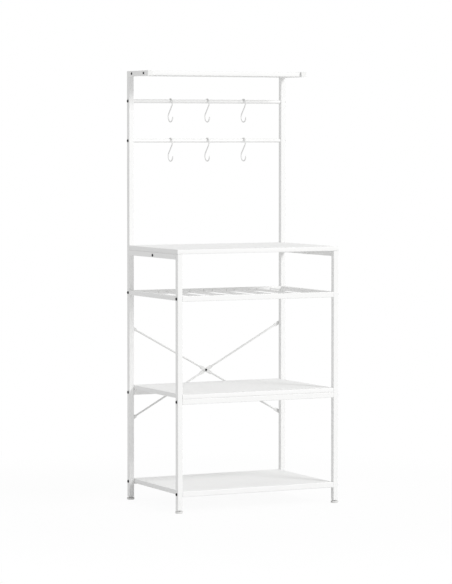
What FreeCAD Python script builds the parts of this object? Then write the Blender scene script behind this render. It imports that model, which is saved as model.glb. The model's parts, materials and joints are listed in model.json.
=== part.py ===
import FreeCAD, Part
import math
import os
import re

import Sketcher

# Kitchen shelf unit with four decks, a rack of wires, two hook bars and a top shelf.
# Millimetres. X runs to the right, Y to the back and Z up. The origin lies on
# the floor, under the middle of the unit's outline.

# Driving sizes, one value each, in millimetres unless the name says otherwise.
DRIVING_SIZES = {
    # Outline of the frame, without bolt heads and braces
    "frame_width": 600,
    "frame_depth": 400,
    "unit_height": 1458,
    # Steel tube of the frame
    "tube_size": 18,
    "tube_wall": 1.2,
    "tube_corner": 2,
    "slim_tube_size": 15,
    "plug_gap": 0.1,
    "plug_length": 12,
    # Heights of the decks, each measured to its top: above the floor, and for
    # the rack below the worktop's top
    "worktop_top": 866.5,
    "rack_drop": 153,
    "middle_shelf_top": 390,
    "bottom_shelf_top": 71,
    # Boards
    "board_thickness": 15,
    "board_gap": 0.5,
    "board_edge": 2,
    # Arms that carry the top board, and how far the board stays behind their ends
    "arm_length": 152,
    "top_front_inset": 8,
    "arm_screw_rear_inset": 22,
    "arm_screw_front_inset": 34,
    # Hook bars, the upper one measured down from the top of the unit
    "bar_diameter": 13,
    "bar_wall": 1.2,
    "upper_bar_drop": 101.5,
    "bar_spacing": 134.5,
    # Wires of the rack: glasses hang by their feet in the slots between them,
    # whose width is measured from axis to axis, and the outermost wires stay
    # off the rails' ends
    "wire_diameter": 4,
    "wire_hole_gap": 0.8,
    "slot_width": 31,
    "wire_end_inset": 39.5,
    # Crossed braces behind the rear posts
    "brace_diameter": 6,
    "brace_flat_thickness": 2.6,
    "brace_flat_width": 12,
    "brace_end_flat": 25,
    "brace_centre_flat": 42,
    "brace_transition": 6,
    "brace_gap": 0.5,
    "brace_cross_rise": 40,
    "brace_lower_drop": 96,
    # Bolts that hold rails and bars between the posts
    "bolt_diameter": 6,
    "bolt_length": 27,
    "bolt_head_diameter": 10,
    "bolt_head_height": 2.6,
    "bolt_head_rim": 1.6,
    "bolt_socket_width": 4,
    "bolt_socket_depth": 1.6,
    "bolt_hole_gap": 0.4,
    "thread_gap": 0.1,
    # Small machine screws and nuts of the braces and cleats
    "small_screw_diameter": 5,
    "small_head_diameter": 9,
    "small_head_height": 2.4,
    "small_head_rim": 1.3,
    "centre_head_diameter": 7.6,
    "small_nut_width": 8,
    "small_nut_height": 3.2,
    "screw_tip": 0.5,
    "rivet_nut_diameter": 7,
    "rivet_nut_length": 9,
    "rivet_bulge_diameter": 9.4,
    "rivet_bulge_height": 1.8,
    # Wood screws
    "wood_screw_diameter": 4,
    "wood_head_diameter": 8,
    "wood_head_height": 2.2,
    "wood_head_rim": 1.2,
    "wood_tip_length": 4,
    "wood_grip_depth": 11,
    "edge_grip_depth": 24,
    "recess_width": 1,
    "recess_span": 4.4,
    "recess_depth": 1.2,
    "long_screw_inset": 90,
    "side_screw_inset": 42,
    "access_hole_diameter": 10,
    # Welded tabs under the bottom board
    "tab_thickness": 2,
    "tab_width": 26,
    "tab_reach": 20,
    "tab_inset": 60,
    # Angle cleats that hold the worktop to the side rails
    "cleat_thickness": 2,
    "cleat_leg": 18,
    "cleat_length": 40,
    "cleat_bolt_drop": 10.8,
    "cleat_forward": 6,
    "cleat_collar_diameter": 9,
    "cleat_collar_height": 3.5,
    "cleat_collar_cap": 1,
    # Levelling feet
    "foot_lift": 9.5,
    "pad_diameter": 25,
    "pad_height": 7,
    "pad_edge": 1,
    "stud_diameter": 8,
    "stud_rise": 32,
    "stud_seat": 3,
    "foot_insert_length": 15,
    # S hooks
    "hook_wire": 4,
    "hook_upper_radius": 14.5,
    "hook_lower_radius": 17.5,
    "hook_loop_spacing": 47,
    "hook_bar_gap": 0.3,
    "hook_pitch": 140,
}

# Counts, angles and shares that shape repeated pieces.
WIRE_PAIRS = 6
HOOKS_PER_BAR = 3
HOOK_SHORT_DEGREES = 6
SCREW_POINT_SHARE = 0.06

# Sizes that follow from the driving sizes.
DERIVED_SIZES = {
    "rail_length": "frame_width - 2 * tube_size",
    "between_posts": "frame_depth - 2 * tube_size",
    "brace_reach": "brace_gap + brace_diameter / 2 + brace_flat_thickness"
                   " + small_nut_height + screw_tip",
    "hook_reach": "hook_lower_radius + (hook_wire - tube_size) / 2",
    "rear_reach": "max(brace_reach; hook_reach)",
    "front_reach": "(pad_diameter - tube_size) / 2",
    "back_face": "(frame_depth + front_reach - rear_reach) / 2",
    "front_face": "back_face - frame_depth",
    "mid_depth": "(front_face + back_face) / 2",
    "front_tube_y": "front_face + tube_size / 2",
    "rear_tube_y": "back_face - tube_size / 2",
    "post_x": "(frame_width - tube_size) / 2",
    "inner_face_x": "rail_length / 2",
    "bore_width": "tube_size - 2 * tube_wall",
    "plug_width": "bore_width - 2 * plug_gap",
    "slim_plug_width": "slim_tube_size - 2 * tube_wall - 2 * plug_gap",
    "worktop_underside": "worktop_top - board_thickness",
    "rack_top": "worktop_top - rack_drop",
    "worktop_rail_z": "worktop_underside - tube_size / 2",
    "rack_rail_z": "rack_top - tube_size / 2",
    "slim_rail_z": "rack_top - slim_tube_size / 2",
    "slim_rail_x": "(frame_width - slim_tube_size) / 2",
    "wire_start_y": "front_face + tube_wall",
    "wire_length": "rear_tube_y + slim_tube_size / 2 - tube_wall - wire_start_y",
    "wire_hole": "wire_diameter + wire_hole_gap",
    "pair_pitch": f"(rail_length - 2 * wire_end_inset + slot_width) / {WIRE_PAIRS}",
    "pair_half": "(pair_pitch - slot_width) / 2",
    "middle_underside": "middle_shelf_top - board_thickness",
    "middle_rail_z": "middle_underside - tube_size / 2",
    "bottom_underside": "bottom_shelf_top - board_thickness",
    "bottom_rail_z": "bottom_shelf_top - tube_size / 2",
    "rear_post_length": "unit_height - foot_lift",
    "rear_post_z": "foot_lift + rear_post_length / 2",
    "front_post_length": "worktop_underside - foot_lift",
    "front_post_z": "foot_lift + front_post_length / 2",
    "upper_bar_height": "unit_height - upper_bar_drop",
    "lower_bar_height": "upper_bar_height - bar_spacing",
    "arm_z": "unit_height - tube_size / 2",
    "arm_y": "back_face - tube_size - arm_length / 2",
    "arm_screw_rear_y": "arm_y + arm_length / 2 - arm_screw_rear_inset",
    "arm_screw_front_y": "arm_y - arm_length / 2 + arm_screw_front_inset",
    "top_board_depth": "arm_length + tube_size - top_front_inset",
    "deck_width": "rail_length - 2 * board_gap",
    "bottom_board_depth": "between_posts - 2 * board_gap",
    "notch_size": "tube_size + board_gap",
    "bolt_hole": "bolt_diameter + bolt_hole_gap",
    "small_hole": "small_screw_diameter + bolt_hole_gap",
    "wood_hole": "wood_screw_diameter + bolt_hole_gap",
    "wood_bore": "wood_screw_diameter + thread_gap",
    "bar_bore": "bar_diameter - 2 * bar_wall",
    "long_screw_length": "tube_wall + wood_grip_depth",
    "short_screw_length": "tab_thickness + wood_grip_depth",
    "edge_screw_length": "tube_size + board_gap + edge_grip_depth",
    "brace_screw_length": "brace_flat_thickness + rivet_nut_length + screw_tip",
    "rivet_hole": "rivet_nut_diameter + thread_gap",
    "centre_screw_length": "2 * brace_flat_thickness + small_nut_height + screw_tip",
    "cleat_bore_depth": "cleat_thickness + cleat_collar_height - cleat_collar_cap",
    "cleat_bolt_length": "tube_size + cleat_bore_depth - screw_tip",
    "cleat_bolt_z": "worktop_underside - cleat_bolt_drop",
    "cleat_y": "mid_depth - cleat_forward",
    "brace_plane_y": "back_face + brace_gap + brace_diameter / 2",
    "brace_cross_z": "middle_shelf_top + brace_cross_rise",
    "brace_lower_height": "middle_rail_z - brace_lower_drop",
    "brace_upper_height": "2 * brace_cross_z - brace_lower_height",
    "hook_hang": "hook_upper_radius - hook_wire / 2 - hook_bar_gap - bar_diameter / 2",
}

SIDES = {"left": -1, "right": 1}

# Half size that a sketched shape starts from, before its constraints size it.
START_HALF = 1.0

# The plane that each drilling or padding axis stands square to, with the
# sign that turns a one-sided cut towards the positive end of that axis.
PLANE_ACROSS = {"X": "YZ_Plane", "Y": "XZ_Plane", "Z": "XY_Plane"}
PLANE_NORMAL_SIGN = {"X": 1, "Y": -1, "Z": 1}

doc = FreeCAD.newDocument("kitchen_shelf_unit")


def make_sheet():
    """Write the driving sizes and the sizes that follow from them."""
    sheet = doc.addObject("Spreadsheet::Sheet", "Sizes")
    row = 1
    for alias, value in DRIVING_SIZES.items():
        sheet.set(f"A{row}", alias)
        sheet.set(f"B{row}", str(value))
        sheet.setAlias(f"B{row}", alias)
        row += 1
    for alias, formula in DERIVED_SIZES.items():
        sheet.set(f"A{row}", alias)
        sheet.set(f"B{row}", "=" + formula)
        sheet.setAlias(f"B{row}", alias)
        row += 1
    doc.recompute()
    return sheet


sheet = make_sheet()


def size(alias):
    """Give a size from the sheet as a plain number."""
    return float(getattr(sheet, alias))


def sized(text):
    """Turn the size names in a formula into references to the sheet."""
    def reference(match):
        word = match.group(0)
        known = word in DRIVING_SIZES or word in DERIVED_SIZES
        return "Sizes." + word if known else word
    return re.sub(r"[a-z]+(?:_[a-z]+)*", reference, text)


def bind(thing, **formulas):
    """Bind properties of a document object to formulas of sizes."""
    for name, formula in formulas.items():
        thing.setExpression(name, sized(formula))
    return thing


def place(thing, x="0", y="0", z="0"):
    """Bind where an object stands to formulas of sizes."""
    thing.setExpression("Placement.Base.x", sized(x))
    thing.setExpression("Placement.Base.y", sized(y))
    thing.setExpression("Placement.Base.z", sized(z))
    return thing


def turn_towards(thing, direction):
    """Turn an object whose own axis is +Z towards a signed axis such as -X."""
    sign = 1 if direction[0] == "+" else -1
    axes = {"X": (1, 0, 0), "Y": (0, 1, 0), "Z": (0, 0, 1)}
    target = FreeCAD.Vector(*axes[direction[1]]) * sign
    turn = FreeCAD.Rotation(FreeCAD.Vector(0, 0, 1), target)
    thing.Placement = FreeCAD.Placement(FreeCAD.Vector(), turn)
    return thing


# Sketches and bodies


def new_body(label):
    """Start a body whose label names its piece."""
    body = doc.addObject("PartDesign::Body", label)
    body.Label = label
    return body


def new_sketch(body, name, across, offset=None):
    """Start a sketch on the body's own plane that stands across an axis."""
    role = PLANE_ACROSS[across]
    plane = next(item for item in body.Origin.OriginFeatures if item.Role == role)
    sketch = body.newObject("Sketcher::SketchObject", name)
    sketch.AttachmentSupport = (plane, [""])
    sketch.MapMode = "FlatFace"
    if offset:
        signed = offset if PLANE_NORMAL_SIGN[across] > 0 else f"-({offset})"
        sketch.setExpression("AttachmentOffset.Base.z", sized(signed))
    return sketch


def bound_constraint(sketch, constraint, formula):
    """Add a constraint to a sketch and bind its value to a formula."""
    number = sketch.addConstraint(constraint)
    sketch.setExpression(f"Constraints[{number}]", sized(formula))


def add_rectangle(sketch, width, height, u="0", v="0"):
    """Add a rectangle of the given width and height with its middle at u, v."""
    first = sketch.GeometryCount
    corners = [FreeCAD.Vector(START_HALF * u_sign, START_HALF * v_sign, 0)
               for u_sign, v_sign in ((-1, -1), (1, -1), (1, 1), (-1, 1))]
    for corner in range(4):
        line = Part.LineSegment(corners[corner], corners[(corner + 1) % 4])
        sketch.addGeometry(line, False)
    for corner in range(4):
        following = first + (corner + 1) % 4
        sketch.addConstraint(Sketcher.Constraint("Coincident", first + corner, 2, following, 1))
    for line in (first, first + 2):
        sketch.addConstraint(Sketcher.Constraint("Horizontal", line))
        sketch.addConstraint(Sketcher.Constraint("Vertical", line + 1))
    middle = sketch.addGeometry(Part.Point(FreeCAD.Vector(0, 0, 0)), True)
    sketch.addConstraint(Sketcher.Constraint("Symmetric", first, 1, first + 1, 2, middle, 1))
    bound_constraint(sketch, Sketcher.Constraint("DistanceX", -1, 1, middle, 1, 0.0), u)
    bound_constraint(sketch, Sketcher.Constraint("DistanceY", -1, 1, middle, 1, 0.0), v)
    start = 2 * START_HALF
    bound_constraint(sketch, Sketcher.Constraint("DistanceX", first, 1, first, 2, start), width)
    bound_constraint(sketch, Sketcher.Constraint("DistanceY", first + 1, 1, first + 1, 2, start),
                     height)


def add_circle(sketch, diameter, u="0", v="0"):
    """Add a circle of the given diameter with its middle at u, v."""
    circle = Part.Circle(FreeCAD.Vector(0, 0, 0), FreeCAD.Vector(0, 0, 1), START_HALF)
    number = sketch.addGeometry(circle, False)
    bound_constraint(sketch, Sketcher.Constraint("Diameter", number, 2 * START_HALF), diameter)
    bound_constraint(sketch, Sketcher.Constraint("DistanceX", -1, 1, number, 3, 0.0), u)
    bound_constraint(sketch, Sketcher.Constraint("DistanceY", -1, 1, number, 3, 0.0), v)


def pad_both_ways(body, sketch, length):
    """Pad a sketch by the same amount to both sides of its plane."""
    pad = body.newObject("PartDesign::Pad", body.Label + "_pad")
    pad.Profile = sketch
    pad.SideType = "Symmetric"
    bind(pad, Length=length)
    doc.recompute()
    return pad


def round_edges(body, chosen, radius):
    """Round the edges of the body's last feature that a test picks out."""
    base = body.Tip
    names = [f"Edge{number}" for number, edge in enumerate(base.Shape.Edges, start=1)
             if chosen(edge)]
    fillet = body.newObject("PartDesign::Fillet", body.Label + "_rounding")
    fillet.Base = (base, names)
    bind(fillet, Radius=radius)
    doc.recompute()
    return fillet


def drill_through(body, along, diameter, places):
    """Drill round holes right through a body at the given places."""
    sketch = new_sketch(body, body.Label + "_through_" + along.lower(), along)
    for u, v in places:
        add_circle(sketch, diameter, u, v)
    pocket = body.newObject("PartDesign::Pocket", body.Label + "_holes_" + along.lower())
    pocket.Profile = sketch
    pocket.Type = "ThroughAll"
    pocket.SideType = "Symmetric"
    doc.recompute()
    return pocket


def drill_blind(body, direction, start, depth, diameter, places):
    """Drill round holes of one depth, from a plane at start, in a signed direction."""
    along = direction[1]
    sketch = new_sketch(body, body.Label + "_blind_sketch", along, start)
    for u, v in places:
        add_circle(sketch, diameter, u, v)
    pocket = body.newObject("PartDesign::Pocket", body.Label + "_blind_holes")
    pocket.Profile = sketch
    pocket.SideType = "One side"
    cuts_positive = direction[0] == "+"
    pocket.Reversed = cuts_positive == (PLANE_NORMAL_SIGN[along] > 0)
    bind(pocket, Length=depth)
    before = body.Shape.Volume
    doc.recompute()
    if body.Shape.Volume >= before:
        raise RuntimeError(body.Label + ": blind holes cut nothing")
    return pocket


# Tubes


def square_tube(label, along, length, width="tube_size"):
    """Make a hollow square tube with rounded corners, its middle at its own origin."""
    body = new_body(label)
    sketch = new_sketch(body, label + "_section", along)
    add_rectangle(sketch, width, width)
    add_rectangle(sketch, f"{width} - 2 * tube_wall", f"{width} - 2 * tube_wall")
    pad_both_ways(body, sketch, length)
    reach = max(body.Shape.BoundBox.XLength, body.Shape.BoundBox.YLength, body.Shape.BoundBox.ZLength)
    half = size(width) / 2

    def is_outer_corner(edge):
        middle = edge.CenterOfMass
        others = [abs(value) for axis, value in zip("XYZ", middle) if axis != along]
        long_enough = edge.Length > reach / 2
        return long_enough and min(others) > half - size("tube_wall") / 2

    round_edges(body, is_outer_corner, "tube_corner")
    return body


def post(label, side, rear):
    """Make one corner post with the holes for its rails, bars and braces."""
    middle = "rear_post_z" if rear else "front_post_z"
    length = "rear_post_length" if rear else "front_post_length"
    heights = ["bottom_rail_z", "middle_rail_z"]
    if rear:
        heights += ["slim_rail_z", "lower_bar_height", "upper_bar_height"]
    else:
        heights += ["rack_rail_z"]
    body = square_tube(label, "Z", length)
    drill_through(body, "X", "bolt_hole", [("0", f"{height} - {middle}") for height in heights])
    if rear:
        brace_places = [("0", f"brace_upper_height - {middle}"), ("0", f"brace_lower_height - {middle}")]
        drill_blind(body, "+Y", "0", "tube_size", "rivet_hole", brace_places)
    place(body, f"{side} * post_x", "rear_tube_y" if rear else "front_tube_y", middle)
    return body


def cross_rail(label, y, z, width="tube_size"):
    """Make a rail that runs from the left posts to the right posts."""
    body = square_tube(label, "X", "rail_length", width)
    place(body, "0", y, z)
    return body


def wire_places():
    """List the x of both wires of each pair, from left to right."""
    pairs = []
    for number in range(WIRE_PAIRS):
        step = number - (WIRE_PAIRS - 1) / 2
        pairs.append([f"{step} * pair_pitch {sign} pair_half" for sign in "-+"])
    return pairs


def drill_screw_holes(rail, places):
    """Drill a rail's upper wall for wood screws, and its lower wall for reaching their heads."""
    drill_through(rail, "Z", "wood_hole", places)
    drill_blind(rail, "+Z", "-tube_size / 2", "tube_size / 2", "access_hole_diameter", places)


def make_frame_tubes():
    """Make the posts, rails and arms."""
    nodes = []
    for side_name, side in SIDES.items():
        nodes.append(post("rear_post_" + side_name, side, True))
        nodes.append(post("front_post_" + side_name, side, False))

        worktop_rail = square_tube("worktop_side_rail_" + side_name, "Y", "between_posts")
        drill_through(worktop_rail, "X", "small_hole",
                      [("-cleat_forward", "cleat_bolt_z - worktop_rail_z")])
        inset = "between_posts / 2 - side_screw_inset"
        drill_screw_holes(worktop_rail, [("0", inset), ("0", f"-({inset})")])
        nodes.append(place(worktop_rail, f"{side} * post_x", "mid_depth", "worktop_rail_z"))

        rack_rail = square_tube("rack_side_rail_" + side_name, "Y", "between_posts", "slim_tube_size")
        nodes.append(place(rack_rail, f"{side} * slim_rail_x", "mid_depth", "slim_rail_z"))

        arm = square_tube("top_arm_" + side_name, "Y", "arm_length")
        drill_through(arm, "X", "wood_hole",
                      [("arm_screw_rear_y - arm_y", "0"), ("arm_screw_front_y - arm_y", "0")])
        nodes.append(place(arm, f"{side} * post_x", "arm_y", "arm_z"))

    for place_name, y in (("front", "front_tube_y"), ("rear", "rear_tube_y")):
        nodes.append(cross_rail(f"bottom_shelf_{place_name}_rail", y, "bottom_rail_z"))
        middle_rail = cross_rail(f"middle_shelf_{place_name}_rail", y, "middle_rail_z")
        inset = "rail_length / 2 - long_screw_inset"
        drill_screw_holes(middle_rail, [(inset, "0"), (f"-({inset})", "0")])
        nodes.append(middle_rail)

    wires = [x for pair in wire_places() for x in pair]
    front_rail = cross_rail("rack_front_rail", "front_tube_y", "rack_rail_z")
    drill_blind(front_rail, "+Y", "0", "tube_size", "wire_hole",
                [(x, "slim_rail_z - rack_rail_z") for x in wires])
    rear_rail = cross_rail("rack_rear_rail", "rear_tube_y", "slim_rail_z", "slim_tube_size")
    drill_blind(rear_rail, "-Y", "0", "slim_tube_size", "wire_hole", [(x, "0") for x in wires])
    return nodes + [front_rail, rear_rail]


def make_hook_bars():
    """Make the two round bars that the hooks hang on."""
    nodes = []
    for name, z in (("lower", "lower_bar_height"), ("upper", "upper_bar_height")):
        body = new_body(f"hook_bar_{name}")
        sketch = new_sketch(body, body.Label + "_section", "X")
        add_circle(sketch, "bar_diameter")
        add_circle(sketch, "bar_bore")
        pad_both_ways(body, sketch, "rail_length")
        nodes.append(place(body, "0", "rear_tube_y", z))
    return nodes


def make_rack_wires():
    """Make the pairs of wires that are held between the front and the rear rail of the rack.

    Each wire's ends pass through holes in the rails' inner walls and stop at the outer walls.
    """
    nodes = []
    for number, pair in enumerate(wire_places(), start=1):
        label = f"rack_wire_pair_{number}"
        wires = []
        for side_name, x in zip(SIDES, pair):
            wire = doc.addObject("Part::Cylinder", f"{label}_{side_name}")
            turn_towards(wire, "+Y")
            bind(wire, Radius="wire_diameter / 2", Height="wire_length")
            wires.append(place(wire, x, "wire_start_y", "slim_rail_z"))
        group = doc.addObject("Part::Compound", label)
        group.Links = wires
        group.Label = label
        nodes.append(group)
    return nodes


# Boards


def board(label, width, depth):
    """Make a board with softly rounded edges, its middle at its own origin."""
    body = new_body(label)
    sketch = new_sketch(body, label + "_outline", "Z")
    add_rectangle(sketch, width, depth)
    pad_both_ways(body, sketch, "board_thickness")
    return body


def soften_board(body):
    """Round the long edges of a board's upper and lower faces."""
    half = size("board_thickness") / 2

    def is_face_edge(edge):
        box = edge.BoundBox
        flat = box.ZLength < half
        return flat and abs(abs(edge.CenterOfMass.z) - half) < half / 2

    return round_edges(body, is_face_edge, "board_edge")


def make_boards():
    """Make the worktop, the two shelves and the top shelf."""
    worktop = board("worktop", "frame_width", "frame_depth")
    notches = new_sketch(worktop, "worktop_notches", "Z")
    for side in SIDES.values():
        add_rectangle(notches, "2 * notch_size", "2 * notch_size",
                      f"{side} * frame_width / 2", "frame_depth / 2")
    notch_cut = worktop.newObject("PartDesign::Pocket", "worktop_notch_cut")
    notch_cut.Profile = notches
    notch_cut.Type = "ThroughAll"
    notch_cut.SideType = "Symmetric"
    doc.recompute()
    soften_board(worktop)
    inset = "between_posts / 2 - side_screw_inset"
    worktop_screws = [(f"{side} * post_x", f"{end} * ({inset})")
                      for side in SIDES.values() for end in (-1, 1)]
    worktop_screws += [(f"{side} * (inner_face_x - cleat_leg / 2)", "-cleat_forward")
                       for side in SIDES.values()]
    drill_blind(worktop, "+Z", "-board_thickness / 2", "wood_grip_depth + screw_tip", "wood_bore",
                worktop_screws)
    place(worktop, "0", "mid_depth", "worktop_underside + board_thickness / 2")

    middle = board("middle_shelf", "deck_width", "frame_depth")
    soften_board(middle)
    middle_screws = [(f"{side} * (rail_length / 2 - long_screw_inset)",
                      f"{end} * (frame_depth - tube_size) / 2")
                     for side in SIDES.values() for end in (-1, 1)]
    drill_blind(middle, "+Z", "-board_thickness / 2", "wood_grip_depth + screw_tip", "wood_bore",
                middle_screws)
    place(middle, "0", "mid_depth", "middle_underside + board_thickness / 2")

    bottom = board("bottom_shelf", "deck_width", "bottom_board_depth")
    soften_board(bottom)
    bottom_screws = [(f"{side} * (rail_length / 2 - tab_inset)",
                      f"{end} * (between_posts - tab_reach) / 2")
                     for side in SIDES.values() for end in (-1, 1)]
    drill_blind(bottom, "+Z", "-board_thickness / 2", "wood_grip_depth + screw_tip", "wood_bore",
                bottom_screws)
    place(bottom, "0", "mid_depth", "bottom_underside + board_thickness / 2")

    top = board("top_shelf", "deck_width", "top_board_depth")
    soften_board(top)
    top_y = "back_face - top_board_depth / 2"
    side_places = [(f"arm_screw_rear_y - ({top_y})", "0"), (f"arm_screw_front_y - ({top_y})", "0")]
    drill_blind(top, "+X", "-deck_width / 2", "edge_grip_depth + screw_tip", "wood_bore", side_places)
    drill_blind(top, "-X", "deck_width / 2", "edge_grip_depth + screw_tip", "wood_bore", side_places)
    place(top, "0", top_y, "arm_z")
    return [worktop, middle, bottom, top]


# Fasteners. Each is modelled once with its axis along +Z and its head below
# zero, and every place where it is used is a linked copy.


def cylinder(name, diameter, height, z="0"):
    """Make a plain cylinder along +Z that starts at height z."""
    shape = doc.addObject("Part::Cylinder", name)
    bind(shape, Radius=f"({diameter}) / 2", Height=height)
    return place(shape, "0", "0", z)


def box(name, length, width, height, x, y, z):
    """Make a plain box with its low corner at x, y, z."""
    shape = doc.addObject("Part::Box", name)
    bind(shape, Length=length, Width=width, Height=height)
    return place(shape, x, y, z)


def fuse(name, pieces):
    """Join pieces into one solid."""
    joined = doc.addObject("Part::MultiFuse", name)
    joined.Shapes = pieces
    joined.Refine = True
    return joined


def cut(name, base, tool):
    """Take a tool's shape away from a base."""
    result = doc.addObject("Part::Cut", name)
    result.Base = base
    result.Tool = tool
    return result


def rounded_head(name, diameter, height, rim):
    """Make a screw head below zero with its outer rim rounded."""
    head = cylinder(name + "_disc", diameter, height, f"-({height})")
    doc.recompute()
    rounded = doc.addObject("Part::Fillet", name + "_head")
    rounded.Base = head
    edges = []
    for number, edge in enumerate(head.Shape.Edges, start=1):
        is_circle = isinstance(edge.Curve, Part.Circle)
        if is_circle and edge.CenterOfMass.z < -size(height) / 2:
            edges.append((number, size(rim), size(rim)))
    rounded.Edges = edges
    return rounded


def socket_bolt(name, diameter, length, head_diameter, head_height, rim):
    """Make a bolt with a round head and a hexagon socket."""
    head = rounded_head(name, head_diameter, head_height, rim)
    shank = cylinder(name + "_shank", diameter, length)
    solid = fuse(name + "_solid", [head, shank])
    socket = doc.addObject("Part::Prism", name + "_socket")
    socket.Polygon = 6
    bind(socket, Circumradius="bolt_socket_width / sqrt(3)", Height="bolt_socket_depth")
    place(socket, "0", "0", f"-({head_height})")
    return cut(name, solid, socket)


def wood_screw(name, length):
    """Make a wood screw with a round head, a cross recess and a pointed tip."""
    head = rounded_head(name, "wood_head_diameter", "wood_head_height", "wood_head_rim")
    shank = cylinder(name + "_shank", "wood_screw_diameter", f"{length} - wood_tip_length")
    tip = doc.addObject("Part::Cone", name + "_tip")
    bind(tip, Radius1="wood_screw_diameter / 2",
         Radius2=f"wood_screw_diameter * {SCREW_POINT_SHARE}", Height="wood_tip_length")
    place(tip, "0", "0", f"{length} - wood_tip_length")
    solid = fuse(name + "_solid", [head, shank, tip])
    slot_a = box(name + "_slot_a", "recess_span", "recess_width", "recess_depth",
                 "-recess_span / 2", "-recess_width / 2", "-wood_head_height")
    slot_b = box(name + "_slot_b", "recess_width", "recess_span", "recess_depth",
                 "-recess_width / 2", "-recess_span / 2", "-wood_head_height")
    return cut(name, solid, fuse(name + "_recess", [slot_a, slot_b]))


def hexagon_nut(name):
    """Make a hexagon nut from zero upwards."""
    block = doc.addObject("Part::Prism", name + "_block")
    block.Polygon = 6
    bind(block, Circumradius="small_nut_width / sqrt(3)", Height="small_nut_height")
    return cut(name, block, cylinder(name + "_bore", "small_screw_diameter + thread_gap",
                                     "small_nut_height"))


def rivet_nut(name):
    """Make a rivet nut from a wall's outer face at zero upwards, with its bulge behind the wall."""
    sleeve = cylinder(name + "_sleeve", "rivet_nut_diameter", "rivet_nut_length")
    bulge = cylinder(name + "_bulge", "rivet_bulge_diameter", "rivet_bulge_height", "tube_wall")
    bore = cylinder(name + "_bore", "small_screw_diameter + thread_gap", "rivet_nut_length")
    return cut(name, fuse(name + "_body", [sleeve, bulge]), bore)


def square_plug(name, length, bore=None, width="plug_width"):
    """Make a square plug that fills the end of a tube, from zero upwards."""
    block = box(name + "_block", width, width, length, f"-{width} / 2", f"-{width} / 2", "0")
    if bore is None:
        return block
    return cut(name, block, cylinder(name + "_bore", bore, length))


def copies(label, master, places):
    """Group linked copies of one fastener under a piece's name."""
    links = []
    for number, (direction, x, y, z) in enumerate(places, start=1):
        link = doc.addObject("App::Link", f"{label}_{number}")
        link.LinkedObject = master
        link.LinkTransform = True
        turn_towards(link, direction)
        links.append(place(link, x, y, z))
    group = doc.addObject("Part::Compound", label)
    group.Links = links
    group.Label = label
    return group


def facing(side, inward=True):
    """Name the X direction that points inward or outward on a side."""
    return "+X" if (side < 0) == inward else "-X"


def rail_end_places():
    """List the y and z of the ends of the rails of full-size tube, for bolts and end nuts."""
    places = [(y, z) for y in ("front_tube_y", "rear_tube_y")
              for z in ("middle_rail_z", "bottom_rail_z")]
    return places + [("front_tube_y", "rack_rail_z")]


def slim_rail_end_places():
    """List the y and z of the ends of the one bolted rail of slim tube."""
    return [("rear_tube_y", "slim_rail_z")]


def bar_end_places():
    """List the y and z of both hook bars' ends."""
    return [("rear_tube_y", z) for z in ("lower_bar_height", "upper_bar_height")]


def make_frame_fasteners():
    """Make the bolts of rails and bars, the nuts in their ends and the tube plugs."""
    bolt = socket_bolt("frame_bolt_model", "bolt_diameter", "bolt_length",
                       "bolt_head_diameter", "bolt_head_height", "bolt_head_rim")
    end_nut = square_plug("rail_end_nut_model", "plug_length", "bolt_diameter + thread_gap")
    slim_nut = square_plug("slim_rail_end_nut_model", "plug_length",
                           "bolt_diameter + thread_gap", "slim_plug_width")
    bar_nut = cut("bar_end_nut_model",
                  cylinder("bar_end_nut_block", "bar_bore - 2 * plug_gap", "plug_length"),
                  cylinder("bar_end_nut_bore", "bolt_diameter + thread_gap", "plug_length"))
    plug = square_plug("tube_plug_model", "plug_length")
    insert = square_plug("foot_insert_model", "foot_insert_length", "stud_diameter + thread_gap")

    bolt_places = []
    end_nut_places = []
    slim_nut_places = []
    bar_nut_places = []
    plug_places = []
    insert_places = []
    for side in SIDES.values():
        inward = facing(side)
        for y, z in rail_end_places() + slim_rail_end_places() + bar_end_places():
            bolt_places.append((inward, f"{side} * frame_width / 2", y, z))
        for y, z in rail_end_places():
            end_nut_places.append((inward, f"{side} * inner_face_x", y, z))
        for y, z in slim_rail_end_places():
            slim_nut_places.append((inward, f"{side} * inner_face_x", y, z))
        for y, z in bar_end_places():
            bar_nut_places.append((inward, f"{side} * inner_face_x", y, z))
        plug_places.append(("-Z", f"{side} * post_x", "rear_tube_y", "unit_height"))
        plug_places.append(("+Y", f"{side} * post_x", "arm_y - arm_length / 2", "arm_z"))
        for y in ("front_tube_y", "rear_tube_y"):
            insert_places.append(("+Z", f"{side} * post_x", y, "foot_lift"))
    return [copies("frame_bolts", bolt, bolt_places),
            copies("rail_end_nuts", end_nut, end_nut_places),
            copies("slim_rail_end_nuts", slim_nut, slim_nut_places),
            copies("hook_bar_end_nuts", bar_nut, bar_nut_places),
            copies("tube_end_plugs", plug, plug_places),
            copies("foot_inserts", insert, insert_places)]


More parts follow.
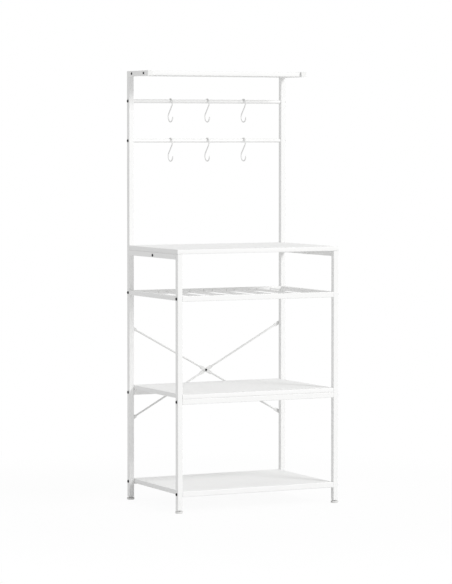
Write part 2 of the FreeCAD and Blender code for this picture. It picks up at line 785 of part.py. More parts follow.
def make_board_fasteners():
    """Make the wood screws, tabs and cleats that hold the boards."""
    long_screw = wood_screw("long_screw_model", "long_screw_length")
    short_screw = wood_screw("short_screw_model", "short_screw_length")
    edge_screw = wood_screw("edge_screw_model", "edge_screw_length")
    long_places = []
    short_places = []
    edge_places = []
    tab_places = []
    for side in SIDES.values():
        for end in (-1, 1):
            long_places.append(("+Z", f"{side} * post_x",
                                f"mid_depth + {end} * (between_posts / 2 - side_screw_inset)",
                                "worktop_underside - tube_wall"))
            long_places.append(("+Z", f"{side} * (rail_length / 2 - long_screw_inset)",
                                f"mid_depth + {end} * (frame_depth - tube_size) / 2",
                                "middle_underside - tube_wall"))
            tab_y = f"mid_depth + {end} * (between_posts - tab_reach) / 2"
            tab_x = f"{side} * (rail_length / 2 - tab_inset)"
            tab_places.append(("+Z", tab_x, tab_y, "bottom_underside - tab_thickness"))
            short_places.append(("+Z", tab_x, tab_y, "bottom_underside - tab_thickness"))
        for y in ("arm_screw_rear_y", "arm_screw_front_y"):
            edge_places.append((facing(side), f"{side} * frame_width / 2", y, "arm_z"))
        short_places.append(("+Z", f"{side} * (inner_face_x - cleat_leg / 2)", "cleat_y",
                             "worktop_underside - cleat_thickness"))

    tab = cut("tab_model",
              box("tab_plate", "tab_width", "tab_reach", "tab_thickness",
                  "-tab_width / 2", "-tab_reach / 2", "0"),
              cylinder("tab_hole", "wood_hole", "tab_thickness"))
    return [copies("long_wood_screws", long_screw, long_places),
            copies("short_wood_screws", short_screw, short_places),
            copies("top_shelf_screws", edge_screw, edge_places),
            copies("bottom_shelf_tabs", tab, tab_places)]


def make_cleats():
    """Make the angle cleats under the worktop, each with a tapped blind collar, and their bolts."""
    cleats = []
    for side_name, side in SIDES.items():
        name = "cleat_" + side_name
        low_x = "inner_face_x - cleat_leg" if side > 0 else "-inner_face_x"
        wall_x = "inner_face_x - cleat_thickness" if side > 0 else "-inner_face_x"
        shelf = box(name + "_shelf", "cleat_leg", "cleat_length", "cleat_thickness", low_x,
                    "cleat_y - cleat_length / 2", "worktop_underside - cleat_thickness")
        wall = box(name + "_wall", "cleat_thickness", "cleat_length", "cleat_leg", wall_x,
                   "cleat_y - cleat_length / 2", "worktop_underside - cleat_leg")
        collar = cylinder(name + "_collar", "cleat_collar_diameter",
                          "cleat_thickness + cleat_collar_height")
        turn_towards(collar, facing(side))
        place(collar, f"{side} * inner_face_x", "cleat_y", "cleat_bolt_z")
        angle = fuse(name + "_angle", [shelf, wall, collar])
        screw_hole = cylinder(name + "_screw_hole", "wood_hole", "cleat_leg")
        place(screw_hole, f"{side} * (inner_face_x - cleat_leg / 2)", "cleat_y",
              "worktop_underside - cleat_leg")
        bolt_bore = cylinder(name + "_bolt_bore", "small_screw_diameter + thread_gap",
                             "cleat_bore_depth")
        turn_towards(bolt_bore, facing(side))
        place(bolt_bore, f"{side} * inner_face_x", "cleat_y", "cleat_bolt_z")
        cleats.append(cut(name, angle, fuse(name + "_holes", [screw_hole, bolt_bore])))
    group = doc.addObject("Part::Compound", "worktop_cleats")
    group.Links = cleats
    group.Label = "worktop_cleats"

    bolt = socket_bolt("cleat_bolt_model", "small_screw_diameter", "cleat_bolt_length",
                       "small_head_diameter", "small_head_height", "small_head_rim")
    bolt_places = [(facing(side), f"{side} * frame_width / 2", "cleat_y", "cleat_bolt_z")
                   for side in SIDES.values()]
    return [group, copies("worktop_cleat_bolts", bolt, bolt_places)]


# Crossed braces. A round rod is pressed flat at both ends, where it is
# screwed behind the posts, and in the middle, where the two rods cross.


def round_section(x, y, radius):
    """Give a circle across X as four arcs whose corners face the flat section's."""
    corner_share = math.sqrt(0.5)
    corners = [(corner_share, -corner_share), (corner_share, corner_share),
               (-corner_share, corner_share), (-corner_share, -corner_share)]
    middles = [(1, 0), (0, 1), (-1, 0), (0, -1)]
    points = [FreeCAD.Vector(x, y + radius * u, radius * v) for u, v in corners]
    bulges = [FreeCAD.Vector(x, y + radius * u, radius * v) for u, v in middles]
    arcs = [Part.Arc(points[n], bulges[n], points[(n + 1) % 4]).toShape() for n in range(4)]
    return Part.Wire(arcs)


def flat_section(x, y, thickness, width):
    """Give a flat section across X: two straight sides and two round edges."""
    half = thickness / 2
    straight = width / 2 - half
    points = [FreeCAD.Vector(x, y + half, -straight), FreeCAD.Vector(x, y + half, straight),
              FreeCAD.Vector(x, y - half, straight), FreeCAD.Vector(x, y - half, -straight)]
    top = FreeCAD.Vector(x, y, width / 2)
    bottom = FreeCAD.Vector(x, y, -width / 2)
    edges = [Part.LineSegment(points[0], points[1]).toShape(),
             Part.Arc(points[1], top, points[2]).toShape(),
             Part.LineSegment(points[2], points[3]).toShape(),
             Part.Arc(points[3], bottom, points[0]).toShape()]
    return Part.Wire(edges)


def brace_shape(centre_side):
    """Build a brace along X with its middle at zero and its flats pressed to one side."""
    radius = size("brace_diameter") / 2
    thickness = size("brace_flat_thickness")
    width = size("brace_flat_width")
    change = size("brace_transition")
    rise = size("brace_upper_height") - size("brace_lower_height")
    half_span = math.hypot(2 * size("post_x"), rise) / 2
    end_y = thickness / 2 - size("brace_gap") - radius
    centre_y = centre_side * thickness / 2
    flat_end = half_span - size("brace_end_flat")
    flat_centre = size("brace_centre_flat") / 2
    pieces = []
    for end in (-1, 1):
        tip = flat_section(end * half_span, end_y, thickness, width)
        neck = flat_section(end * flat_end, end_y, thickness, width)
        outer_round = round_section(end * (flat_end - change), 0, radius)
        inner_round = round_section(end * (flat_centre + change), 0, radius)
        middle = flat_section(end * flat_centre, centre_y, thickness, width)
        for first, second in ((tip, neck), (neck, outer_round), (outer_round, inner_round),
                              (inner_round, middle)):
            pieces.append(Part.makeLoft([first, second], True, True))
        eye = Part.makeCylinder(width / 2, thickness,
                                FreeCAD.Vector(end * half_span, end_y - thickness / 2, 0),
                                FreeCAD.Vector(0, 1, 0))
        pieces.append(eye)
    pieces.append(Part.makeLoft([flat_section(-flat_centre, centre_y, thickness, width),
                                 flat_section(flat_centre, centre_y, thickness, width)], True, True))
    solid = pieces[0].multiFuse(pieces[1:]).removeSplitter()
    hole_radius = size("small_hole") / 2
    for x in (-half_span, 0, half_span):
        hole = Part.makeCylinder(hole_radius, 4 * radius, FreeCAD.Vector(x, -2 * radius, 0),
                                 FreeCAD.Vector(0, 1, 0))
        solid = solid.cut(hole)
    return solid


def make_braces():
    """Make the two brace rods with their screws and nuts."""
    rise = math.degrees(math.atan2(size("brace_upper_height") - size("brace_lower_height"),
                                   2 * size("post_x")))
    nodes = []
    for label, tilt, centre_side in (("brace_rod_falling", rise, -1), ("brace_rod_rising", -rise, 1)):
        rod = doc.addObject("Part::Feature", label)
        rod.Label = label
        rod.Shape = brace_shape(centre_side)
        rod.Placement = FreeCAD.Placement(FreeCAD.Vector(),
                                          FreeCAD.Rotation(FreeCAD.Vector(0, 1, 0), tilt))
        nodes.append(place(rod, "0", "brace_plane_y", "brace_cross_z"))

    end_screw = socket_bolt("brace_screw_model", "small_screw_diameter", "brace_screw_length",
                            "small_head_diameter", "small_head_height", "small_head_rim")
    screw_places = []
    nut_places = []
    for side in SIDES.values():
        for z in ("brace_upper_height", "brace_lower_height"):
            screw_places.append(("-Y", f"{side} * post_x", "back_face + brace_flat_thickness", z))
            nut_places.append(("-Y", f"{side} * post_x", "back_face", z))
    nodes.append(copies("brace_end_screws", end_screw, screw_places))
    nodes.append(copies("brace_rivet_nuts", rivet_nut("rivet_nut_model"), nut_places))

    centre_screw = socket_bolt("brace_centre_screw_model", "small_screw_diameter",
                               "centre_screw_length", "centre_head_diameter",
                               "small_head_height", "small_head_rim")
    nodes.append(copies("brace_centre_screw", centre_screw,
                        [("+Y", "0", "brace_plane_y - brace_flat_thickness", "brace_cross_z")]))
    nodes.append(copies("brace_centre_nut", hexagon_nut("centre_nut_model"),
                        [("+Y", "0", "brace_plane_y + brace_flat_thickness", "brace_cross_z")]))
    return nodes


# Levelling feet and hooks, the pieces that move


def make_feet():
    """Make the pad and the threaded stud of each levelling foot."""
    nodes = []
    corners = [(f"{row}_{side_name}", side, y) for side_name, side in SIDES.items()
               for row, y in (("front", "front_tube_y"), ("rear", "rear_tube_y"))]
    for corner, side, y in corners:
        pad = new_body("foot_pad_" + corner)
        outline = new_sketch(pad, pad.Label + "_outline", "Z", "pad_height / 2")
        add_circle(outline, "pad_diameter")
        pad_both_ways(pad, outline, "pad_height")
        round_edges(pad, lambda edge: isinstance(edge.Curve, Part.Circle), "pad_edge")
        drill_blind(pad, "-Z", "pad_height", "stud_seat", "stud_diameter + thread_gap", [("0", "0")])
        nodes.append(place(pad, f"{side} * post_x", y, "0"))

        stud = doc.addObject("Part::Cylinder", "foot_stud_" + corner)
        stud.Label = "foot_stud_" + corner
        bind(stud, Radius="stud_diameter / 2", Height="stud_rise - pad_height + stud_seat")
        nodes.append(place(stud, f"{side} * post_x", y, "pad_height - stud_seat"))
    return nodes


# How far a hook's shank leans, so that it runs straight from one loop into the other.
HOOK_LEAN = "asin((hook_upper_radius + hook_lower_radius) / hook_loop_spacing)"


def hook_arc(name, radius, start_degrees, z):
    """Make one bent loop of a hook in the YZ plane, from its tip to where the shank meets it."""
    arc = doc.addObject("Part::Torus", name)
    bind(arc, Radius1=radius, Radius2="hook_wire / 2",
         Angle3=f"{180 - HOOK_SHORT_DEGREES} deg + {HOOK_LEAN}")
    spin = FreeCAD.Rotation(FreeCAD.Vector(0, 0, 1), start_degrees)
    stand_up = FreeCAD.Rotation(FreeCAD.Vector(1, 1, 1), 120)
    arc.Placement = FreeCAD.Placement(FreeCAD.Vector(), stand_up.multiply(spin))
    return place(arc, "0", "0", z)


def hook_tip(name, radius, side, z):
    """Make the rounded end of a hook's wire."""
    ball = doc.addObject("Part::Sphere", name)
    bind(ball, Radius="hook_wire / 2")
    short = f"{HOOK_SHORT_DEGREES} deg"
    return place(ball, "0", f"{side} * {radius} * cos({short})",
                 f"{z} + {side} * {radius} * sin({short})")


def s_hook(label, x, z):
    """Make one S hook that hangs on a bar at x, z, its own origin on the bar's axis."""
    upper = "-hook_hang"
    lower = "-hook_hang - hook_loop_spacing"
    shank = doc.addObject("Part::Cylinder", label + "_shank")
    bind(shank, Radius="hook_wire / 2", Height=f"hook_loop_spacing * cos({HOOK_LEAN})")
    shank.Placement = FreeCAD.Placement(FreeCAD.Vector(),
                                        FreeCAD.Rotation(FreeCAD.Vector(1, 0, 0), 1))
    shank.setExpression("Placement.Rotation.Angle", sized(HOOK_LEAN))
    place(shank, "0", f"hook_lower_radius * cos({HOOK_LEAN})",
          f"{lower} + hook_lower_radius * sin({HOOK_LEAN})")
    hook = fuse(label, [hook_arc(label + "_upper_loop", "hook_upper_radius",
                                 HOOK_SHORT_DEGREES, upper), shank,
                        hook_arc(label + "_lower_loop", "hook_lower_radius",
                                 180 + HOOK_SHORT_DEGREES, lower),
                        hook_tip(label + "_upper_tip", "hook_upper_radius", 1, upper),
                        hook_tip(label + "_lower_tip", "hook_lower_radius", -1, lower)])
    hook.Label = label
    return place(hook, x, "rear_tube_y", z)


def make_hooks():
    """Make the hooks, spaced evenly along each bar."""
    nodes = []
    for bar, z in (("lower", "lower_bar_height"), ("upper", "upper_bar_height")):
        for number in range(1, HOOKS_PER_BAR + 1):
            step = number - (HOOKS_PER_BAR + 1) / 2
            nodes.append(s_hook(f"hook_{bar}_{number}", f"{step} * hook_pitch", z))
    return nodes


def check_objects():
    """Stop if any object of the document failed."""
    for thing in doc.Objects:
        if "Invalid" in thing.State or "Error" in thing.State:
            raise RuntimeError(f"{thing.Name} failed: {thing.State}")


def main():
    """Build every piece, check it and write it to its own file."""
    nodes = (make_frame_tubes() + make_hook_bars() + make_rack_wires() + make_boards()
             + make_frame_fasteners() + make_board_fasteners() + make_cleats()
             + make_braces() + make_feet() + make_hooks())
    doc.recompute()
    check_objects()
    for node in nodes:
        if node.Shape.isNull() or not node.Shape.isValid() or not node.Shape.Solids:
            raise RuntimeError(f"{node.Label} has no valid solid")
    os.makedirs("parts", exist_ok=True)
    for node in nodes:
        node.Shape.exportStep(f"parts/{node.Label}.step")
    print(len(nodes), "pieces written")


main()
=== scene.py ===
"""Dresses the white kitchen shelf unit: coated tubes, laminated boards, hooks, screws and feet."""

import json
import logging
import math
from collections.abc import Callable, Mapping, Sequence
from dataclasses import dataclass, field, replace
from enum import Enum
from typing import Protocol

import bmesh
import bpy
from mathutils import Matrix, Vector


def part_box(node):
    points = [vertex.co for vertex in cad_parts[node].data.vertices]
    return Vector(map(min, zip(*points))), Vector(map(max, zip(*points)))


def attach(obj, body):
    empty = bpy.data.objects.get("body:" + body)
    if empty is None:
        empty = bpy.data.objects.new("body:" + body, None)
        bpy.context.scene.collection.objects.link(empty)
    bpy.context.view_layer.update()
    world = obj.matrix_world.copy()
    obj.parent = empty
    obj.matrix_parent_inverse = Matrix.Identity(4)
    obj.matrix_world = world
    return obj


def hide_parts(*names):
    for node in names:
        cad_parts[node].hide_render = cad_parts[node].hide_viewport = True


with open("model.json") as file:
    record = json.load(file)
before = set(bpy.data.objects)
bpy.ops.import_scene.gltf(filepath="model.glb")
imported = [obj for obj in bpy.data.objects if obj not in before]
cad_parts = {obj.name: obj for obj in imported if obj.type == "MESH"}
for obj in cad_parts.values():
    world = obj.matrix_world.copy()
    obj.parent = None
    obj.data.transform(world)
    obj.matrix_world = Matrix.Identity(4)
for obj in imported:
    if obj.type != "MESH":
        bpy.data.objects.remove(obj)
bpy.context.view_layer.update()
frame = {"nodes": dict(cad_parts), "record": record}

MM = 0.001
MERGE_DISTANCE = 0.002 * MM
PLANE_TOLERANCE = 0.01 * MM
# Spin turns left-handed about its axis, while every turn in this file is right-handed
SPIN_SIGN = -1.0
# A ring's own corners lie within this many radii of its middle
RING_REACH = 1.5
QUARTER_TURN = math.radians(90.0)
X_WAY = Vector((1.0, 0.0, 0.0))
Y_WAY = Vector((0.0, 1.0, 0.0))
Z_WAY = Vector((0.0, 0.0, 1.0))
SIDES = {"left": -1.0, "right": 1.0}
BOTH = (-1.0, 1.0)
LOWER = (-1.0,)
REAR = (1.0,)
FRAME_BODY = "frame"

Colour = tuple[float, float, float]
Piece = bpy.types.Object
Socket = bpy.types.NodeSocket
Tree = bpy.types.NodeTree

log = logging.getLogger("shelf_unit")


class Slot(Enum):
    """The record's material slots."""

    FRAME = "white_frame"
    BOARD = "white_board"
    ROD = "coated_rod"
    SCREW = "dark_screw"
    STEEL = "plain_steel"
    PLUG = "plug_plastic"
    FOOT = "foot_plastic"


class Element(Enum):
    """What a selection in edit mode picks."""

    FACE = "FACE"
    EDGE = "EDGE"
    VERTEX = "VERT"


Materials = Mapping[Slot, bpy.types.Material]


class Assembly(Protocol):
    """A sub-assembly that models its own pieces."""

    def build(self, materials: Materials) -> list[Piece]:
        """Model the pieces, dress them and return them."""


# Tools for shaping


def begin(name: str) -> Piece:
    """Name the primitive that was just added, settle its place and open it in edit mode.

    Args:
        name: The piece's name.

    Returns:
        The piece, active and in edit mode, with everything selected.
    """
    piece = bpy.context.active_object
    piece.name = name
    piece.data.name = name
    bpy.context.view_layer.update()
    piece.data.transform(piece.matrix_world)
    piece.matrix_world = Matrix.Identity(4)
    bpy.ops.object.mode_set(mode="EDIT")
    bpy.ops.mesh.select_all(action="SELECT")
    return piece


def clear_selection() -> None:
    """Deselect every object, so that an operator acts only on what follows."""
    bpy.ops.object.select_all(action="DESELECT")


def pick(piece: Piece, element: Element, test: Callable[[Vector], bool]) -> None:
    """Select the elements of a piece in edit mode that pass a test.

    Args:
        piece: The piece in edit mode.
        element: Whether faces, edges or vertices are picked.
        test: Tells by an element's middle whether it is picked.
    """
    bpy.ops.mesh.select_mode(type=element.value)
    bpy.ops.mesh.select_all(action="DESELECT")
    mesh = bmesh.from_edit_mesh(piece.data)
    mesh.normal_update()
    if element is Element.FACE:
        found = [(face, face.calc_center_median()) for face in mesh.faces]
    elif element is Element.EDGE:
        found = [(edge, (edge.verts[0].co + edge.verts[1].co) / 2) for edge in mesh.edges]
    else:
        found = [(vertex, vertex.co) for vertex in mesh.verts]
    for item, middle in found:
        if test(middle):
            item.select_set(True)
    mesh.select_flush_mode()
    bmesh.update_edit_mesh(piece.data)


def finish_edit(piece: Piece, smooth_degrees: float = 40.0) -> Piece:
    """Merge doubles, turn the faces outward, close edit mode and shade by angle.

    Args:
        piece: The piece in edit mode.
        smooth_degrees: Edges flatter than this are shaded smooth.

    Returns:
        The piece, at the origin in object mode.
    """
    bpy.ops.mesh.select_all(action="SELECT")
    bpy.ops.mesh.remove_doubles(threshold=MERGE_DISTANCE)
    bpy.ops.mesh.normals_make_consistent(inside=False)
    bpy.ops.object.mode_set(mode="OBJECT")
    clear_selection()
    piece.select_set(True)
    bpy.context.view_layer.objects.active = piece
    bpy.ops.object.shade_smooth_by_angle(angle=math.radians(smooth_degrees))
    piece.select_set(False)
    return piece


def placed_copy(model: Piece, name: str, place: Matrix) -> Piece:
    """Copy a modelled piece, with a mesh of its own, and settle it at a place.

    Args:
        model: The piece that is copied.
        name: The copy's name.
        place: Where the copy stands.

    Returns:
        The copy.
    """
    copy = model.copy()
    copy.data = model.data.copy()
    copy.name = name
    copy.data.name = name
    bpy.context.scene.collection.objects.link(copy)
    copy.data.transform(place)
    return copy


def join_pieces(pieces: Sequence[Piece], name: str) -> Piece:
    """Join pieces into one object.

    Args:
        pieces: The pieces, all at the origin.
        name: The joined piece's name.

    Returns:
        The joined piece.
    """
    clear_selection()
    for piece in pieces:
        piece.select_set(True)
    bpy.context.view_layer.objects.active = pieces[0]
    bpy.ops.object.join()
    joined = bpy.context.active_object
    joined.name = name
    joined.data.name = name
    joined.select_set(False)
    return joined


def remove_model(model: Piece) -> None:
    """Remove a model that only served to be copied."""
    bpy.data.objects.remove(model)


class Sweep:
    """Shapes a piece by sweeping a ring of edges: it is pulled on, scaled, spun and closed."""

    def __init__(self, name: str, radius: float, corners: int, centre: Vector, way: Vector,
                 half_step: bool = False) -> None:
        """Start from a round ring.

        Args:
            name: The piece's name.
            radius: The ring's radius.
            corners: How many corners it has.
            centre: Its middle.
            way: The direction in which it is swept.
            half_step: Whether it is turned by half a corner.
        """
        clear_selection()
        self.radius = radius
        self.centre = centre.copy()
        self.way = way.normalized()
        self.first = (radius, centre.copy(), self.way.copy())
        turn = Z_WAY.rotation_difference(self.way).to_matrix()
        if half_step:
            turn = turn @ Matrix.Rotation(math.pi / corners, 3, "Z")
        bpy.ops.mesh.primitive_circle_add(
            vertices=corners, radius=radius, location=centre, rotation=turn.to_euler())
        self.piece = begin(name)

    def pull(self, distance: float, aside: Vector = Vector()) -> None:
        """Pull the ring on along its way.

        Args:
            distance: How far it goes.
            aside: A move added to that.
        """
        step = self.way * distance + aside
        bpy.ops.mesh.extrude_region_move(TRANSFORM_OT_translate={"value": step})
        self.centre += step

    def trace(self, profile: Sequence[tuple[float, float]]) -> None:
        """Pull the ring on through a row of sections.

        Args:
            profile: Each section's distance from where the ring is now, and its radius.
        """
        done = 0.0
        for distance, radius in profile:
            self.pull(distance - done)
            ratio = radius / self.radius
            bpy.ops.transform.resize(value=(ratio, ratio, ratio), center_override=self.centre)
            done = distance
            self.radius = radius

    def spin(self, pivot: Vector, axis: Vector, degrees: float, steps: int) -> None:
        """Sweep the ring round an axis.

        Args:
            pivot: A point on the axis.
            axis: The axis.
            degrees: How far it turns, right-handed about the axis.
            steps: How many rings that adds.
        """
        angle = math.radians(degrees)
        bpy.ops.mesh.spin(steps=steps, angle=SPIN_SIGN * angle, center=pivot, axis=axis)
        turn = Matrix.Rotation(angle, 3, axis)
        self.centre = pivot + turn @ (self.centre - pivot)
        self.way = turn @ self.way

    def close_flat(self) -> None:
        """Close the ring with one face."""
        bpy.ops.mesh.edge_face_add()

    def close_round(self, steps: int = 5) -> None:
        """Close the ring with a round end as wide as the ring.

        Args:
            steps: How many rings the round end has.
        """
        radius = self.radius
        angles = [QUARTER_TURN * step / steps for step in range(1, steps)]
        self.trace([(radius * math.sin(angle), radius * math.cos(angle)) for angle in angles])
        self.pull(radius * (1.0 - math.sin(angles[-1])))
        bpy.ops.mesh.merge(type="CENTER")

    def back_to_start(self) -> None:
        """Take up the first ring again, to be closed or swept the other way."""
        radius, centre, way = self.first
        pick(self.piece, Element.VERTEX,
             lambda point: abs((point - centre).dot(way)) < PLANE_TOLERANCE
             and (point - centre).length < RING_REACH * radius)
        self.radius = radius
        self.centre = centre.copy()
        self.way = -way


def dress(piece: Piece, material: bpy.types.Material) -> None:
    """Give the whole of a new piece or of a node of the frame one material."""
    piece.data.materials.clear()
    piece.data.materials.append(material)


def hand_over(piece: Piece, materials: Materials, slot: Slot, body: str = FRAME_BODY,
              node: str | None = None) -> Piece:
    """Give a new piece its finish, its body and the node that it stands for.

    Args:
        piece: The finished piece.
        materials: Each slot's material.
        slot: The piece's slot.
        body: The body that it rides on.
        node: The node that it stands for, if any.

    Returns:
        The piece.
    """
    dress(piece, materials[slot])
    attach(piece, body)
    if node:
        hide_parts(node)
    return piece


def node_box(node: str) -> tuple[Vector, Vector]:
    """Give a node's lowest and highest corner."""
    low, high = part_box(node)
    return Vector(low), Vector(high)


def node_middle(node: str) -> Vector:
    """Give the middle of a node's box."""
    low, high = node_box(node)
    return (low + high) / 2


# Tools for materials

MIX_SHARE = 0
MIX_FIRST = 6
MIX_SECOND = 7
MIX_RESULT = 2


def opaque(colour: Colour) -> tuple[float, float, float, float]:
    """Give a colour with full cover."""
    return (*colour, 1.0)


class Graph:
    """Adds and links nodes in one node tree."""

    def __init__(self, tree: Tree) -> None:
        """Work on the tree of a material, a world, a lamp or a group."""
        self.tree = tree

    def add(self, kind: str, inputs: Mapping[str | int, object] | None = None,
            **settings: object) -> bpy.types.Node:
        """Add a node, set its properties and feed its inputs.

        Args:
            kind: The node's type name.
            inputs: For each input that is fed, a socket to link or a plain value.
            settings: Its properties.

        Returns:
            The node.
        """
        node = self.tree.nodes.new(kind)
        for name, value in settings.items():
            setattr(node, name, value)
        for label, value in (inputs or {}).items():
            if isinstance(value, Socket):
                self.tree.links.new(value, node.inputs[label])
            else:
                node.inputs[label].default_value = value
        return node

    def maths(self, operation: str, first: object, second: object) -> Socket:
        """Add a maths node on two sockets or numbers and give its result."""
        return self.add("ShaderNodeMath", {0: first, 1: second}, operation=operation).outputs[0]

    def place(self) -> Socket:
        """Give the place on the piece, in metres."""
        return self.add("ShaderNodeTexCoord").outputs["Object"]

    def noise(self, scale: Socket, detail: float = 2.0, roughness: float = 0.5) -> Socket:
        """Add noise over the piece.

        Args:
            scale: How many patches it has per metre.
            detail: How many finer layers it has.
            roughness: How strong the finer layers are.

        Returns:
            The noise, from 0 to 1.
        """
        inputs = {"Vector": self.place(), "Scale": scale, "Detail": detail, "Roughness": roughness}
        return self.add("ShaderNodeTexNoise", inputs).outputs[0]

    def spread(self, share: Socket, low: float, high: float) -> Socket:
        """Turn a share from 0 to 1 into a value from low to high."""
        inputs = {"Value": share, "To Min": low, "To Max": high}
        return self.add("ShaderNodeMapRange", inputs).outputs["Result"]

    def share(self, value: Socket, low: float, high: float) -> Socket:
        """Turn a value from low to high into a share from 0 to 1."""
        inputs = {"Value": value, "From Min": low, "From Max": high}
        return self.add("ShaderNodeMapRange", inputs).outputs["Result"]

    def blend_colours(self, share: Socket, first: object, second: object) -> Socket:
        """Mix two colours, each a socket or plain, by the second one's share."""
        inputs = {MIX_SHARE: share, MIX_FIRST: first, MIX_SECOND: second}
        return self.add("ShaderNodeMix", inputs, data_type="RGBA").outputs[MIX_RESULT]


def empty_graph(owner: bpy.types.ID) -> Graph:
    """Switch an owner's nodes on and clear them.

    Args:
        owner: A material, a world or a lamp.

    Returns:
        The graph of its empty tree.
    """
    owner.use_nodes = True
    owner.node_tree.nodes.clear()
    return Graph(owner.node_tree)


# Shader groups that the finishes share

FINE_RIPPLE_RATIO = 2.6
PATCH_CONTRAST = (0.35, 0.65)
FULL_RIM_TURN = 0.15


def new_group(name: str, inputs: Mapping[str, float], output: str) -> tuple[Graph, bpy.types.Node]:
    """Start a shader node group of plain values.

    Args:
        name: The group's name.
        inputs: Each input's default value.
        output: The output's name.

    Returns:
        The group's graph and its input node.
    """
    tree = bpy.data.node_groups.new(name, "ShaderNodeTree")
    for label, value in inputs.items():
        socket = tree.interface.new_socket(label, in_out="INPUT", socket_type="NodeSocketFloat")
        socket.default_value = value
    tree.interface.new_socket(output, in_out="OUTPUT", socket_type="NodeSocketFloat")
    graph = Graph(tree)
    return graph, graph.add("NodeGroupInput")


def build_ripple_group() -> Tree:
    """Build the fine ripple of sprayed or moulded skin, as a height from 0 to 1.

    Returns:
        The group, with the inputs Ripples per metre and Softness and the output Height.
    """
    graph, entry = new_group("fine_ripple", {"Ripples per metre": 700.0, "Softness": 0.5}, "Height")
    ripples = entry.outputs["Ripples per metre"]
    softness = entry.outputs["Softness"]
    coarse = graph.noise(ripples, detail=1.0)
    fine = graph.noise(graph.maths("MULTIPLY", ripples, FINE_RIPPLE_RATIO), detail=1.0)
    heights = (graph.maths("MULTIPLY", coarse, softness),
               graph.maths("MULTIPLY", fine, graph.maths("SUBTRACT", 1.0, softness)))
    graph.add("NodeGroupOutput", {"Height": graph.maths("ADD", *heights)})
    return graph.tree


def build_handling_group() -> Tree:
    """Build the soft uneven sheen that wiping and handling leave, as a mask from 0 to 1.

    Returns:
        The group, with the input Patches per metre and the output Mask.
    """
    graph, entry = new_group("handling_marks", {"Patches per metre": 6.0}, "Mask")
    cloud = graph.noise(entry.outputs["Patches per metre"], detail=4.0, roughness=0.6)
    graph.add("NodeGroupOutput", {"Mask": graph.share(cloud, *PATCH_CONTRAST)})
    return graph.tree


def build_rim_group() -> Tree:
    """Build a mask of a piece's rubbed rims, where the surface turns sharply.

    Returns:
        The group, with the inputs Reach and Breaks per metre and the output Mask.
    """
    graph, entry = new_group("rubbed_rims", {"Reach": 0.4 * MM, "Breaks per metre": 900.0}, "Mask")
    rounded = graph.add("ShaderNodeBevel", {"Radius": entry.outputs["Reach"]}, samples=4)
    flat = graph.add("ShaderNodeNewGeometry")
    normals = {0: rounded.outputs[0], 1: flat.outputs["True Normal"]}
    closeness = graph.add("ShaderNodeVectorMath", normals, operation="DOT_PRODUCT")
    turned = graph.maths("SUBTRACT", 1.0, closeness.outputs["Value"])
    breaks = graph.noise(entry.outputs["Breaks per metre"])
    mask = graph.maths("MULTIPLY", graph.share(turned, 0.0, FULL_RIM_TURN), breaks)
    graph.add("NodeGroupOutput", {"Mask": mask})
    return graph.tree


@dataclass(frozen=True)
class SharedGroups:
    """The shader groups that the finishes share, each built once."""

    ripple: Tree = field(default_factory=build_ripple_group)
    handling: Tree = field(default_factory=build_handling_group)
    rims: Tree = field(default_factory=build_rim_group)


# Finishes


@dataclass(frozen=True)
class Finish:
    """A surface finish: its colours, gloss and fine relief.

    Attributes:
        name: The material's name.
        colour: The clean surface's colour.
        worn_colour: The colour towards which handling marks shift it.
        roughness: Its lowest and highest roughness.
        ripples_per_metre: How fine its relief is.
        ripple_height: How deep its relief is, in metres.
        ripple_softness: The coarse ripple's share of the relief.
        patches_per_metre: How many handling marks it has.
        metallic: 1 for bare metal, 0 otherwise.
        rim_colour: The colour of rubbed rims, or none.
        ior: Its index of refraction.
        relief_strength: How much of the relief shows.
    """

    name: str
    colour: Colour
    worn_colour: Colour
    roughness: tuple[float, float]
    ripples_per_metre: float
    ripple_height: float
    ripple_softness: float
    patches_per_metre: float = 6.0
    metallic: float = 0.0
    rim_colour: Colour | None = None
    ior: float = 1.5
    relief_strength: float = 0.5

    def build(self, groups: SharedGroups) -> bpy.types.Material:
        """Build the finish's material.

        Args:
            groups: The shader groups that finishes share.

        Returns:
            The material.
        """
        material = bpy.data.materials.new(self.name)
        graph = empty_graph(material)
        marks = graph.add("ShaderNodeGroup", {"Patches per metre": self.patches_per_metre},
                          node_tree=groups.handling).outputs["Mask"]
        colour = graph.blend_colours(marks, opaque(self.colour), opaque(self.worn_colour))
        if self.rim_colour:
            rims = graph.add("ShaderNodeGroup", node_tree=groups.rims).outputs["Mask"]
            colour = graph.blend_colours(rims, colour, opaque(self.rim_colour))
        fineness = {"Ripples per metre": self.ripples_per_metre, "Softness": self.ripple_softness}
        ripple = graph.add("ShaderNodeGroup", fineness, node_tree=groups.ripple)
        bump = graph.add("ShaderNodeBump", {
            "Strength": self.relief_strength, "Distance": self.ripple_height,
            "Height": ripple.outputs["Height"]})
        surface = graph.add("ShaderNodeBsdfPrincipled", {
            "Base Color": colour, "Metallic": self.metallic, "IOR": self.ior,
            "Roughness": graph.spread(marks, *self.roughness), "Normal": bump.outputs[0]})
        graph.add("ShaderNodeOutputMaterial", {"Surface": surface.outputs[0]})
        return material


